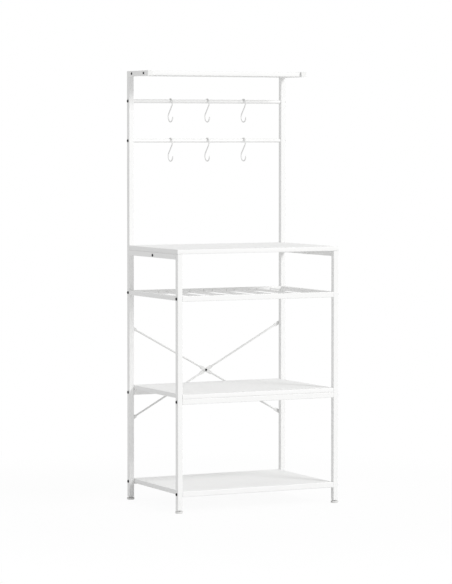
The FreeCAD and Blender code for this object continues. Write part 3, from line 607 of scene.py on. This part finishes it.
FINISHES = {
    Slot.FRAME: Finish(
        "white_powder_coat", colour=(0.88, 0.88, 0.875), worn_colour=(0.865, 0.865, 0.86),
        roughness=(0.36, 0.46), ripples_per_metre=420.0, ripple_height=0.009 * MM,
        ripple_softness=0.8),
    Slot.BOARD: Finish(
        "white_laminate", colour=(0.88, 0.88, 0.875), worn_colour=(0.87, 0.87, 0.865),
        roughness=(0.50, 0.58), ripples_per_metre=2200.0, ripple_height=0.006 * MM,
        ripple_softness=0.5, patches_per_metre=3.0),
    # Painted shade: the hooks and braces have the frame's white coat, but their colour here is painted
    # darker than the frame's, for the shade that the thin rods show.
    Slot.ROD: Finish(
        "white_rod_with_painted_shade", colour=(0.79, 0.79, 0.785), worn_colour=(0.76, 0.76, 0.755),
        roughness=(0.30, 0.40), ripples_per_metre=900.0, ripple_height=0.005 * MM,
        ripple_softness=0.7, patches_per_metre=30.0),
    Slot.SCREW: Finish(
        "dark_zinc", colour=(0.022, 0.022, 0.024), worn_colour=(0.035, 0.035, 0.038),
        roughness=(0.38, 0.52), ripples_per_metre=3000.0, ripple_height=0.01 * MM,
        ripple_softness=0.4, patches_per_metre=120.0, metallic=1.0, rim_colour=(0.16, 0.16, 0.165)),
    Slot.STEEL: Finish(
        "plain_zinc", colour=(0.58, 0.58, 0.60), worn_colour=(0.50, 0.50, 0.52),
        roughness=(0.28, 0.42), ripples_per_metre=2500.0, ripple_height=0.02 * MM,
        ripple_softness=0.4, patches_per_metre=90.0, metallic=1.0, rim_colour=(0.75, 0.75, 0.76)),
    Slot.PLUG: Finish(
        "white_plug_plastic", colour=(0.84, 0.84, 0.83), worn_colour=(0.82, 0.82, 0.81),
        roughness=(0.42, 0.52), ripples_per_metre=1800.0, ripple_height=0.02 * MM,
        ripple_softness=0.5, patches_per_metre=60.0),
    Slot.FOOT: Finish(
        "white_foot_plastic", colour=(0.78, 0.78, 0.77), worn_colour=(0.74, 0.74, 0.73),
        roughness=(0.46, 0.58), ripples_per_metre=1500.0, ripple_height=0.03 * MM,
        ripple_softness=0.5, patches_per_metre=60.0),
}


# Sub-assemblies


@dataclass
class SHook:
    """An S hook of bent wire with round ends, which hangs on a bar.

    Attributes:
        wire: The wire's diameter.
        upper_radius: The radius of the loop over the bar, to the wire's middle.
        lower_radius: The radius of the loop that things hang on.
        spacing: The distance between the loops' middles.
        hang: How far the upper loop's middle hangs below the bar's axis.
        short_degrees: How far each loop stops short of level.
        corners: How many corners the wire's section has.
        loop_steps: How many steps each loop has.
    """

    wire: float = 4.0 * MM
    upper_radius: float = 14.5 * MM
    lower_radius: float = 17.5 * MM
    spacing: float = 47.0 * MM
    hang: float = 5.7 * MM
    short_degrees: float = 6.0
    corners: int = 20
    loop_steps: int = 36

    def build(self, name: str) -> Piece:
        """Model the hook with the bar's axis through the origin.

        Args:
            name: The piece's name.

        Returns:
            The hook.
        """
        lean = math.degrees(math.asin((self.upper_radius + self.lower_radius) / self.spacing))
        upper_middle = -Z_WAY * self.hang
        lower_middle = upper_middle - Z_WAY * self.spacing
        short = math.radians(self.short_degrees)
        outward = Vector((0.0, math.cos(short), math.sin(short)))
        along = Vector((0.0, -math.sin(short), math.cos(short)))
        start = upper_middle + outward * self.upper_radius
        sweep = Sweep(name, self.wire / 2, self.corners, start, along)
        turn = 180.0 - self.short_degrees + lean
        sweep.spin(upper_middle, X_WAY, turn, self.loop_steps)
        sweep.pull(self.spacing * math.cos(math.radians(lean)))
        sweep.spin(lower_middle, X_WAY, -turn, self.loop_steps)
        sweep.close_round()
        sweep.back_to_start()
        sweep.close_round()
        return finish_edit(sweep.piece)


@dataclass
class HookRail:
    """The two bars with their S hooks.

    Attributes:
        hook: The hook that hangs on them.
        bars: The bars' names.
        hooks_per_bar: How many hooks hang on each.
    """

    hook: SHook = field(default_factory=SHook)
    bars: tuple[str, ...] = ("lower", "upper")
    hooks_per_bar: int = 3

    def build(self, materials: Materials) -> list[Piece]:
        """Model one hook and hang its copies on the bars.

        Args:
            materials: Each slot's material.

        Returns:
            The hooks.
        """
        model = self.hook.build("hook_model")
        hooks = []
        for bar in self.bars:
            axis = node_middle(f"hook_bar_{bar}")
            for number in range(1, self.hooks_per_bar + 1):
                node = f"hook_{bar}_{number}"
                place = Matrix.Translation((node_middle(node).x, axis.y, axis.z))
                hook = placed_copy(model, f"wire_{node}", place)
                hooks.append(hand_over(hook, materials, Slot.ROD, f"{node}_body", node))
        remove_model(model)
        return hooks


@dataclass
class WeldBead:
    """A weld's rippled bead.

    Attributes:
        radius: The bead's radius, part of which lies inside the tubes.
        ripple_pitch: The distance between two ripples.
        ripple_share: How much narrower the bead is between two ripples.
        corners: How many corners its section has.
        end_steps: How many rings its round ends have.
        smooth_degrees: Edges flatter than this are shaded smooth.
    """

    radius: float = 1.5 * MM
    ripple_pitch: float = 1.7 * MM
    ripple_share: float = 0.86
    corners: int = 12
    end_steps: int = 3
    smooth_degrees: float = 75.0

    def build(self, name: str, length: float) -> Piece:
        """Model a straight bead along X with its middle at the origin.

        Args:
            name: The piece's name.
            length: The bead's length.

        Returns:
            The bead.
        """
        ripples = round((length - 2 * self.radius) / self.ripple_pitch)
        half_pitch = self.ripple_pitch / 2
        valley = (half_pitch, self.radius * self.ripple_share)
        crest = (self.ripple_pitch, self.radius)
        sweep = Sweep(name, self.radius, self.corners, -X_WAY * ripples * half_pitch, X_WAY)
        for _ in range(ripples):
            sweep.trace((valley, crest))
        sweep.close_round(self.end_steps)
        sweep.back_to_start()
        sweep.close_round(self.end_steps)
        return finish_edit(sweep.piece, self.smooth_degrees)


@dataclass
class FrameWelds:
    """The weld beads of the frame: arms, side rails and tabs.

    Attributes:
        bead: The bead's sizes.
        rail_bead_length: The length of the beads across a rail's end.
        tab_width: The width of the tabs under the bottom board.
        tab_bead_length: The length of the beads that hold the tabs.
        sink: How far a bead's middle lies outside the corner that it fills.
    """

    bead: WeldBead = field(default_factory=WeldBead)
    rail_bead_length: float = 14.0 * MM
    tab_width: float = 26.0 * MM
    tab_bead_length: float = 22.0 * MM
    sink: float = 0.2 * MM

    def rail_end_places(self, node: str, ends: Sequence[float], tops: Sequence[float],
                        inner_side: float = 0.0) -> list[Matrix]:
        """List where beads cross the ends of one rail that runs from front to back.

        Args:
            node: The rail's node.
            ends: Which ends are welded, -1 for the front one and 1 for the rear one.
            tops: Which faces have a bead, -1 for the lower one and 1 for the upper one.
            inner_side: The side of the unit on which the rail's inner face has a bead, or 0.

        Returns:
            The places of beads that are modelled along X.
        """
        low, high = node_box(node)
        middle = (low + high) / 2
        upright = Matrix.Rotation(QUARTER_TURN, 4, "Y")
        places = []
        for end in ends:
            y = (high.y if end > 0 else low.y) - end * self.sink
            for top in tops:
                z = (high.z if top > 0 else low.z) + top * self.sink
                places.append(Matrix.Translation((middle.x, y, z)))
            if inner_side:
                x = (low.x if inner_side > 0 else high.x) - inner_side * self.sink
                places.append(Matrix.Translation((x, y, middle.z)) @ upright)
        return places

    def tab_places(self) -> list[Matrix]:
        """List where beads join the tabs' undersides to the bottom rails.

        Returns:
            The places of beads that are modelled along X.
        """
        low, high = node_box("bottom_shelf_tabs")
        x = high.x - self.tab_width / 2
        z = low.z - self.sink
        rows = (low.y + self.sink, high.y - self.sink)
        return [Matrix.Translation((side * x, y, z)) for side in SIDES.values() for y in rows]

    def build(self, materials: Materials) -> list[Piece]:
        """Model the beads once and set their copies.

        Args:
            materials: Each slot's material.

        Returns:
            All the beads as one piece.
        """
        rail_bead = self.bead.build("rail_bead_model", self.rail_bead_length)
        tab_bead = self.bead.build("tab_bead_model", self.tab_bead_length)
        beads = []
        for name, side in SIDES.items():
            places = self.rail_end_places(f"worktop_side_rail_{name}", BOTH, LOWER)
            places += self.rail_end_places(f"rack_side_rail_{name}", BOTH, BOTH, side)
            places += self.rail_end_places(f"top_arm_{name}", REAR, LOWER)
            beads += [placed_copy(rail_bead, f"weld_{name}_{number}", place)
                      for number, place in enumerate(places)]
        beads += [placed_copy(tab_bead, f"tab_weld_{number}", place)
                  for number, place in enumerate(self.tab_places())]
        remove_model(rail_bead)
        remove_model(tab_bead)
        return [hand_over(join_pieces(beads, "frame_weld_beads"), materials, Slot.FRAME)]


@dataclass
class Board:
    """A laminated board with an edge band on its rim.

    Attributes:
        node: The node that the board stands for.
        corner_post: The post for which its rear corners are cut out, if they are.
        corner_gap: The gap between the cut and the post.
        rounding: The rounding of its upper and its lower rim.
        rounding_steps: How many steps the rounding has.
        seam_width: Half the width of the seam between the band and the panel.
        seam_depth: How deep the seam is.
        straight_degrees: Corners of the outline that turn less than this are dissolved.
        smooth_degrees: Edges flatter than this are shaded smooth.
    """

    node: str
    corner_post: str | None = None
    corner_gap: float = 0.5 * MM
    rounding: float = 2.0 * MM
    rounding_steps: int = 5
    seam_width: float = 0.12 * MM
    seam_depth: float = 0.10 * MM
    straight_degrees: float = 1.0
    smooth_degrees: float = 35.0

    def cut_corners(self, piece: Piece, low: Vector, high: Vector) -> None:
        """Cut the rear corners out of the board's outline.

        Args:
            piece: The outline, one flat face in edit mode.
            low: The board's lowest corner.
            high: The board's highest corner.
        """
        post_low, post_high = node_box(self.corner_post)
        notch = post_high.x - post_low.x + self.corner_gap
        left = low.x + notch
        right = high.x - notch
        back = high.y - notch
        for point, across in ((X_WAY * left, X_WAY), (X_WAY * right, X_WAY), (Y_WAY * back, Y_WAY)):
            bpy.ops.mesh.select_all(action="SELECT")
            bpy.ops.mesh.bisect(plane_co=point, plane_no=across)
        pick(piece, Element.FACE, lambda point: point.y > back and not left < point.x < right)
        bpy.ops.mesh.delete(type="FACE")
        bpy.ops.mesh.select_all(action="SELECT")
        bpy.ops.mesh.dissolve_limited(angle_limit=math.radians(self.straight_degrees))

    def build(self, materials: Materials) -> list[Piece]:
        """Model the board from its outline.

        Args:
            materials: Each slot's material.

        Returns:
            The board alone.
        """
        low, high = node_box(self.node)
        size = high - low
        middle = (low + high) / 2
        clear_selection()
        bpy.ops.mesh.primitive_plane_add(size=1.0, location=(middle.x, middle.y, low.z))
        bpy.context.active_object.scale = (size.x, size.y, 1.0)
        piece = begin(f"panel_{self.node}")
        if self.corner_post:
            self.cut_corners(piece, low, high)
        bpy.ops.mesh.select_all(action="SELECT")
        bpy.ops.mesh.extrude_region_move(TRANSFORM_OT_translate={"value": Z_WAY * size.z})
        bpy.ops.mesh.select_all(action="SELECT")
        bpy.ops.mesh.normals_make_consistent(inside=False)
        reach = size.z / 2 - PLANE_TOLERANCE
        pick(piece, Element.EDGE, lambda point: abs(point.z - middle.z) > reach)
        bpy.ops.mesh.bevel(offset=self.rounding, segments=self.rounding_steps, affect="EDGES")
        for top in BOTH:
            pick(piece, Element.FACE, lambda point: (point.z - middle.z) * top > reach)
            for depth in (-self.seam_depth, self.seam_depth):
                bpy.ops.mesh.inset(thickness=self.seam_width, depth=depth)
        finish_edit(piece, self.smooth_degrees)
        return [hand_over(piece, materials, Slot.BOARD, FRAME_BODY, self.node)]


@dataclass(frozen=True)
class Section:
    """A section of a brace rod: an upper and a lower round with a straight stretch between them.

    Attributes:
        place: Where it lies along the rod.
        rounding: The radius of its rounds.
        tall: Half the height of the straight stretch.
        back: How far it lies behind the rod's axis.
    """

    place: float
    rounding: float
    tall: float
    back: float


@dataclass
class BraceRod:
    """A brace: a round rod, pressed flat at its ends and where it crosses the other.

    Attributes:
        radius: The rod's radius.
        thickness: The thickness of its flats.
        width: The width of its flats.
        end_flat: The length of an end's flat, from the screw inwards.
        centre_flat: The length of the flat in the middle.
        transition: The length over which it turns from flat to round.
        gap: The gap between the posts' rear faces and the round rod.
        corners: How many corners its section has.
        steps: How many steps a rounding or a transition has.
        smooth_degrees: Edges flatter than this are shaded smooth.
    """

    radius: float = 3.0 * MM
    thickness: float = 2.6 * MM
    width: float = 12.0 * MM
    end_flat: float = 25.0 * MM
    centre_flat: float = 42.0 * MM
    transition: float = 6.0 * MM
    gap: float = 0.5 * MM
    corners: int = 24
    steps: int = 6
    smooth_degrees: float = 50.0

    def sections(self, half_span: float, centre_side: float) -> list[Section]:
        """List the sections from one end to the other.

        Args:
            half_span: Half the distance between its end screws.
            centre_side: The side of the rod's axis to which the middle is pressed.

        Returns:
            The sections.
        """
        thin = self.thickness / 2
        tip = self.width / 2
        end_back = thin - self.gap - self.radius
        half = []
        for step in range(1, self.steps + 1):
            angle = QUARTER_TURN * step / self.steps
            tall = max(tip * math.sin(angle) - thin, 0.0)
            half.append(Section(half_span + tip * math.cos(angle), thin, tall, end_back))
        easing = [(1.0 + math.cos(math.pi * step / self.steps)) / 2 for step in range(self.steps + 1)]
        necks = ((half_span - self.end_flat, end_back, easing),
                 (self.centre_flat / 2 + self.transition, centre_side * thin, easing[::-1]))
        for neck, back, flatness in necks:
            for step, flat in enumerate(flatness):
                rounding = self.radius + (thin - self.radius) * flat
                place = neck - self.transition * step / self.steps
                half.append(Section(place, rounding, (tip - thin) * flat, back * flat))
        return half + [replace(section, place=-section.place) for section in reversed(half)]

    def reshape(self, sweep: Sweep, before: Section, now: Section) -> None:
        """Change the last ring's rounding and height.

        Args:
            sweep: The sweep, with its last ring already at its place.
            before: The section that the ring has.
            now: The section that it gets.
        """
        centre = sweep.centre.copy()
        ratio = now.rounding / before.rounding
        for half in BOTH:
            pick(sweep.piece, Element.VERTEX,
                 lambda point: abs(point.x - centre.x) < PLANE_TOLERANCE
                 and (point.z - centre.z) * half > 0.0)
            pivot = centre + Z_WAY * half * before.tall
            bpy.ops.transform.resize(value=(1.0, ratio, ratio), center_override=pivot)
            bpy.ops.transform.translate(value=Z_WAY * half * (now.tall - before.tall))
        pick(sweep.piece, Element.VERTEX, lambda point: abs(point.x - centre.x) < PLANE_TOLERANCE)

    def build(self, name: str, half_span: float, centre_side: float) -> Piece:
        """Model the rod along X with its middle at the origin.

        Args:
            name: The piece's name.
            half_span: Half the distance between its end screws.
            centre_side: The side of the rod's axis to which the middle is pressed.

        Returns:
            The rod.
        """
        sections = self.sections(half_span, centre_side)
        first = sections[0]
        start = Vector((first.place, first.back, 0.0))
        sweep = Sweep(name, first.rounding, self.corners, start, -X_WAY, half_step=True)
        self.reshape(sweep, replace(first, tall=0.0), first)
        sweep.close_flat()
        for before, now in zip(sections, sections[1:]):
            sweep.pull(before.place - now.place, Y_WAY * (now.back - before.back))
            self.reshape(sweep, before, now)
        sweep.close_flat()
        return finish_edit(sweep.piece, self.smooth_degrees)


@dataclass
class BraceCross:
    """The two crossed braces behind the rear posts.

    Attributes:
        rod: The brace's sizes.
    """

    rod: BraceRod = field(default_factory=BraceRod)

    def build(self, materials: Materials) -> list[Piece]:
        """Model both rods and lean them across each other.

        Args:
            materials: Each slot's material.

        Returns:
            The rods.
        """
        low, high = node_box("brace_rod_rising")
        half_run = (high.x - low.x - self.rod.width) / 2
        half_rise = (high.z - low.z - self.rod.width) / 2
        half_span = math.hypot(half_run, half_rise)
        lean = math.atan2(half_rise, half_run)
        centre_z = node_middle("brace_centre_nut").z
        centre = Matrix.Translation((0.0, low.y + self.rod.gap + self.rod.radius, centre_z))
        leans = (("brace_rod_falling", lean, -1.0), ("brace_rod_rising", -lean, 1.0))
        rods = []
        for node, tilt, centre_side in leans:
            model = self.rod.build(f"{node}_model", half_span, centre_side)
            rod = placed_copy(model, f"pressed_{node}", centre @ Matrix.Rotation(tilt, 4, "Y"))
            remove_model(model)
            rods.append(hand_over(rod, materials, Slot.ROD, FRAME_BODY, node))
        return rods


@dataclass
class LevellingFoot:
    """A levelling foot: a fluted pad on a threaded stud.

    Attributes:
        pad_radius: The pad's radius.
        pad_height: The pad's height.
        rounding: The rounding of its rims.
        rounding_steps: How many steps the rounding has.
        flutes: How many flutes it has.
        faces_per_flute: How many side faces there are to each flute.
        flute_depth: How deep they are.
        flute_flank_share: The width of a flute's flanks, per depth.
        boss_radius: The radius of the hollow round the stud.
        hollow_depth: How deep that hollow is.
        hollow_floor_share: Its floor's radius, per radius of its mouth.
        thread_pitch: The thread's pitch.
        flank_share: The length of a thread's flank, per pitch.
        crest_share: The length of its crest, per pitch.
        root_share: The thread's root radius, per outer radius.
        tip_share: The radius of the stud's tip, per root radius.
        tip_gap: How far the tip stays below the top of the stud's box.
        corners: How many corners the stud's section has.
        pad_smooth_degrees: The pad's edges flatter than this are shaded smooth.
        stud_smooth_degrees: The stud's edges flatter than this are shaded smooth.
    """

    pad_radius: float = 12.5 * MM
    pad_height: float = 7.0 * MM
    rounding: float = 1.0 * MM
    rounding_steps: int = 4
    flutes: int = 24
    faces_per_flute: int = 3
    flute_depth: float = 0.35 * MM
    flute_flank_share: float = 0.25
    boss_radius: float = 6.0 * MM
    hollow_depth: float = 0.8 * MM
    hollow_floor_share: float = 0.94
    thread_pitch: float = 1.25 * MM
    flank_share: float = 0.4
    crest_share: float = 0.12
    root_share: float = 0.87
    tip_share: float = 0.9
    tip_gap: float = 0.01 * MM
    corners: int = 28
    pad_smooth_degrees: float = 35.0
    stud_smooth_degrees: float = 25.0

    def build_pad(self, name: str) -> Piece:
        """Model the pad, standing on the floor over the origin.

        Args:
            name: The piece's name.

        Returns:
            The pad.
        """
        flat_radius = self.pad_radius - self.rounding
        shoulder = self.pad_height - self.rounding
        arc = [(self.rounding * math.sin(QUARTER_TURN * step / self.rounding_steps),
                self.rounding * math.cos(QUARTER_TURN * step / self.rounding_steps))
               for step in range(1, self.rounding_steps + 1)]
        profile = [(self.rounding - level, flat_radius + out) for out, level in arc]
        profile.append((shoulder, self.pad_radius))
        profile += [(shoulder + rise, flat_radius + out) for rise, out in arc]
        profile.append((self.pad_height, self.boss_radius))
        profile.append((self.pad_height - self.hollow_depth, self.boss_radius * self.hollow_floor_share))
        sides = self.faces_per_flute * self.flutes
        sweep = Sweep(name, flat_radius, sides, Vector(), Z_WAY)
        sweep.close_flat()
        sweep.trace(profile)
        sweep.close_flat()
        middle = self.pad_height / 2
        side_angle = 2 * math.pi / sides
        pick(sweep.piece, Element.FACE,
             lambda point: abs(point.z - middle) < PLANE_TOLERANCE
             and math.floor(math.atan2(point.y, point.x) / side_angle) % self.faces_per_flute == 0)
        bpy.ops.mesh.inset(thickness=self.flute_flank_share * self.flute_depth,
                           depth=-self.flute_depth, use_individual=True)
        return finish_edit(sweep.piece, self.pad_smooth_degrees)

    def build_stud(self, name: str, low: Vector, high: Vector) -> Piece:
        """Model the threaded stud over the origin, at its own height.

        Args:
            name: The piece's name.
            low: The lowest corner of a stud's box.
            high: The highest corner of that box.

        Returns:
            The stud.
        """
        radius = (high.x - low.x) / 2
        root = radius * self.root_share
        height = high.z - low.z
        crest_end = self.flank_share + self.crest_share
        turn = ((self.flank_share, radius), (crest_end, radius), (crest_end + self.flank_share, root),
                (1.0, root))
        profile = [((number + share) * self.thread_pitch, reach)
                   for number in range(int(height / self.thread_pitch)) for share, reach in turn]
        profile.append((height - self.tip_gap, root * self.tip_share))
        sweep = Sweep(name, root, self.corners, Z_WAY * low.z, Z_WAY)
        sweep.close_flat()
        sweep.trace(profile)
        sweep.close_flat()
        return finish_edit(sweep.piece, self.stud_smooth_degrees)

    def build(self, materials: Materials) -> list[Piece]:
        """Model one foot and set its copies under the posts.

        Args:
            materials: Each slot's material.

        Returns:
            The pads and studs.
        """
        stud = self.build_stud("stud_model", *node_box("foot_stud_front_left"))
        models = ((self.build_pad("pad_model"), "fluted_pad", "foot_pad", Slot.FOOT),
                  (stud, "threaded_stud", "foot_stud", Slot.STEEL))
        pieces = []
        for corner in [f"{row}_{side}" for row in ("front", "rear") for side in SIDES]:
            middle = node_middle(f"foot_stud_{corner}")
            place = Matrix.Translation((middle.x, middle.y, 0.0))
            body = f"foot_{corner}_body"
            for model, look, node, slot in models:
                copy = placed_copy(model, f"{look}_{corner}", place)
                pieces.append(hand_over(copy, materials, slot, body, f"{node}_{corner}"))
        for model, *_ in models:
            remove_model(model)
        return pieces


# Studio


@dataclass
class Studio:
    """The pale floor, the lights and the camera.

    Attributes:
        floor_half: Half the floor's width, in metres.
        floor_colour: The floor's colour in the light.
        white_share: How much of the floor's look is plain white rather than lit.
        shadow_reach: How far round the object the floor shows its light and shadow.
        fade_reach: How far out the floor is all white.
        ambient: The strength of the even light from all around.
        key_strength: The strength of the soft key light, which is the same at any distance.
        key_width: The diameter of its disk.
        key_place: Where it stands.
        aim: What it is aimed at.
        eye: The camera's place.
        heading: The camera's heading in degrees, clockwise from the back.
        tilt: How far the camera looks down, in degrees.
        lens: Its lens in millimetres.
        film_height: The height of its film in millimetres.
        shift: The lens's shift upwards as a share of the film's height. Below 0 it is shifted
            down, so that the camera looks nearly level and the posts stay almost upright.
        sight: How far the camera sees.
    """

    floor_half: float = 40.0
    floor_colour: Colour = (0.85, 0.85, 0.85)
    white_share: float = 0.95
    shadow_reach: float = 0.8
    fade_reach: float = 1.6
    ambient: float = 0.675
    key_strength: float = 4.7
    key_width: float = 2.6
    key_place: tuple[float, float, float] = (3.0, -5.6, 4.5)
    aim: tuple[float, float, float] = (0.0, 0.0, 0.73)
    eye: tuple[float, float, float] = (-4.11119, -8.18194, 1.24492)
    heading: float = 26.557
    tilt: float = 1.861
    lens: float = 166.842
    film_height: float = 36.0
    shift: float = -0.12
    sight: float = 160.0

    def seen_share(self, graph: Graph) -> Socket:
        """Give 1 for rays that show the background and 0 for rays that light the object.

        Args:
            graph: The graph that needs it.

        Returns:
            The share's socket.
        """
        path = graph.add("ShaderNodeLightPath")
        seen = graph.maths("MAXIMUM", path.outputs["Is Camera Ray"], path.outputs["Is Glossy Ray"])
        return graph.maths("MAXIMUM", seen, path.outputs["Is Transmission Ray"])

    def build_floor(self) -> None:
        """Lay the pale floor."""
        clear_selection()
        bpy.ops.mesh.primitive_plane_add(size=2 * self.floor_half, location=(0.0, 0.0, 0.0))
        floor = bpy.context.active_object
        floor.name = "studio_floor"
        material = bpy.data.materials.new("pale_floor")
        graph = empty_graph(material)
        lit = graph.add("ShaderNodeBsdfDiffuse", {"Color": opaque(self.floor_colour)})
        white = graph.add("ShaderNodeEmission", {"Strength": 1.0})
        distance = graph.add("ShaderNodeVectorMath", {0: graph.place()}, operation="LENGTH")
        fade = graph.add("ShaderNodeMapRange", {
            "Value": distance.outputs["Value"], "From Min": self.shadow_reach,
            "From Max": self.fade_reach, "To Min": self.white_share}, interpolation_type="SMOOTHSTEP")
        share = graph.maths("MULTIPLY", self.seen_share(graph), fade.outputs["Result"])
        mix = graph.add("ShaderNodeMixShader", {0: share, 1: lit.outputs[0], 2: white.outputs[0]})
        graph.add("ShaderNodeOutputMaterial", {"Surface": mix.outputs[0]})
        dress(floor, material)

    def build_air(self) -> None:
        """Set the even light from all around."""
        world = bpy.data.worlds.new("studio_air")
        bpy.context.scene.world = world
        graph = empty_graph(world)
        strength = graph.spread(self.seen_share(graph), self.ambient, 1.0)
        glow = {"Color": opaque((1.0, 1.0, 1.0)), "Strength": strength}
        air = graph.add("ShaderNodeBackground", glow)
        graph.add("ShaderNodeOutputWorld", {"Surface": air.outputs[0]})

    def build_key_light(self) -> None:
        """Set the round soft light, whose strength is the same at any distance."""
        clear_selection()
        bpy.ops.object.light_add(type="AREA", location=self.key_place)
        lamp = bpy.context.active_object
        lamp.name = "key_light"
        lamp.data.shape = "DISK"
        lamp.data.size = self.key_width
        lamp.data.energy = self.key_strength
        towards = Vector(self.aim) - Vector(self.key_place)
        lamp.rotation_euler = towards.to_track_quat("-Z", "Y").to_euler()
        graph = empty_graph(lamp.data)
        evenness = graph.add("ShaderNodeLightFalloff", {"Strength": 1.0})
        glow = graph.add("ShaderNodeEmission", {"Strength": evenness.outputs["Constant"]})
        graph.add("ShaderNodeOutputLight", {"Surface": glow.outputs[0]})

    def build_camera(self) -> None:
        """Set the camera where the photograph was taken from."""
        clear_selection()
        bpy.ops.object.camera_add(location=self.eye)
        camera = bpy.context.active_object
        camera.name = "camera"
        camera.rotation_euler = (QUARTER_TURN - math.radians(self.tilt), 0.0, -math.radians(self.heading))
        camera.data.sensor_fit = "VERTICAL"
        camera.data.sensor_height = self.film_height
        camera.data.lens = self.lens
        camera.data.shift_y = self.shift
        camera.data.clip_end = self.sight
        bpy.context.scene.camera = camera

    def build(self) -> None:
        """Build the floor, the lights and the camera, and set the plain view."""
        self.build_floor()
        self.build_air()
        self.build_key_light()
        self.build_camera()
        bpy.context.scene.view_settings.view_transform = "Standard"


def main() -> None:
    """Build the studio, dress the frame and add the fine pieces."""
    logging.basicConfig(level=logging.INFO, format="%(name)s: %(message)s")
    Studio().build()
    groups = SharedGroups()
    materials = {slot: finish.build(groups) for slot, finish in FINISHES.items()}
    for entry in frame["record"]["subparts"]:
        material = materials[Slot(entry["material_slot"])]
        dress(frame["nodes"][entry["node"]], material)
        log.info("%s: dressed in %s", entry["node"], material.name)
    assemblies: tuple[Assembly, ...] = (
        FrameWelds(), BraceCross(), HookRail(), LevellingFoot(), Board("worktop", "rear_post_right"),
        Board("middle_shelf"), Board("bottom_shelf"), Board("top_shelf"))
    for assembly in assemblies:
        for piece in assembly.build(materials):
            log.info("%s: %d faces", piece.name, len(piece.data.polygons))


if __name__ == "__main__":
    main()
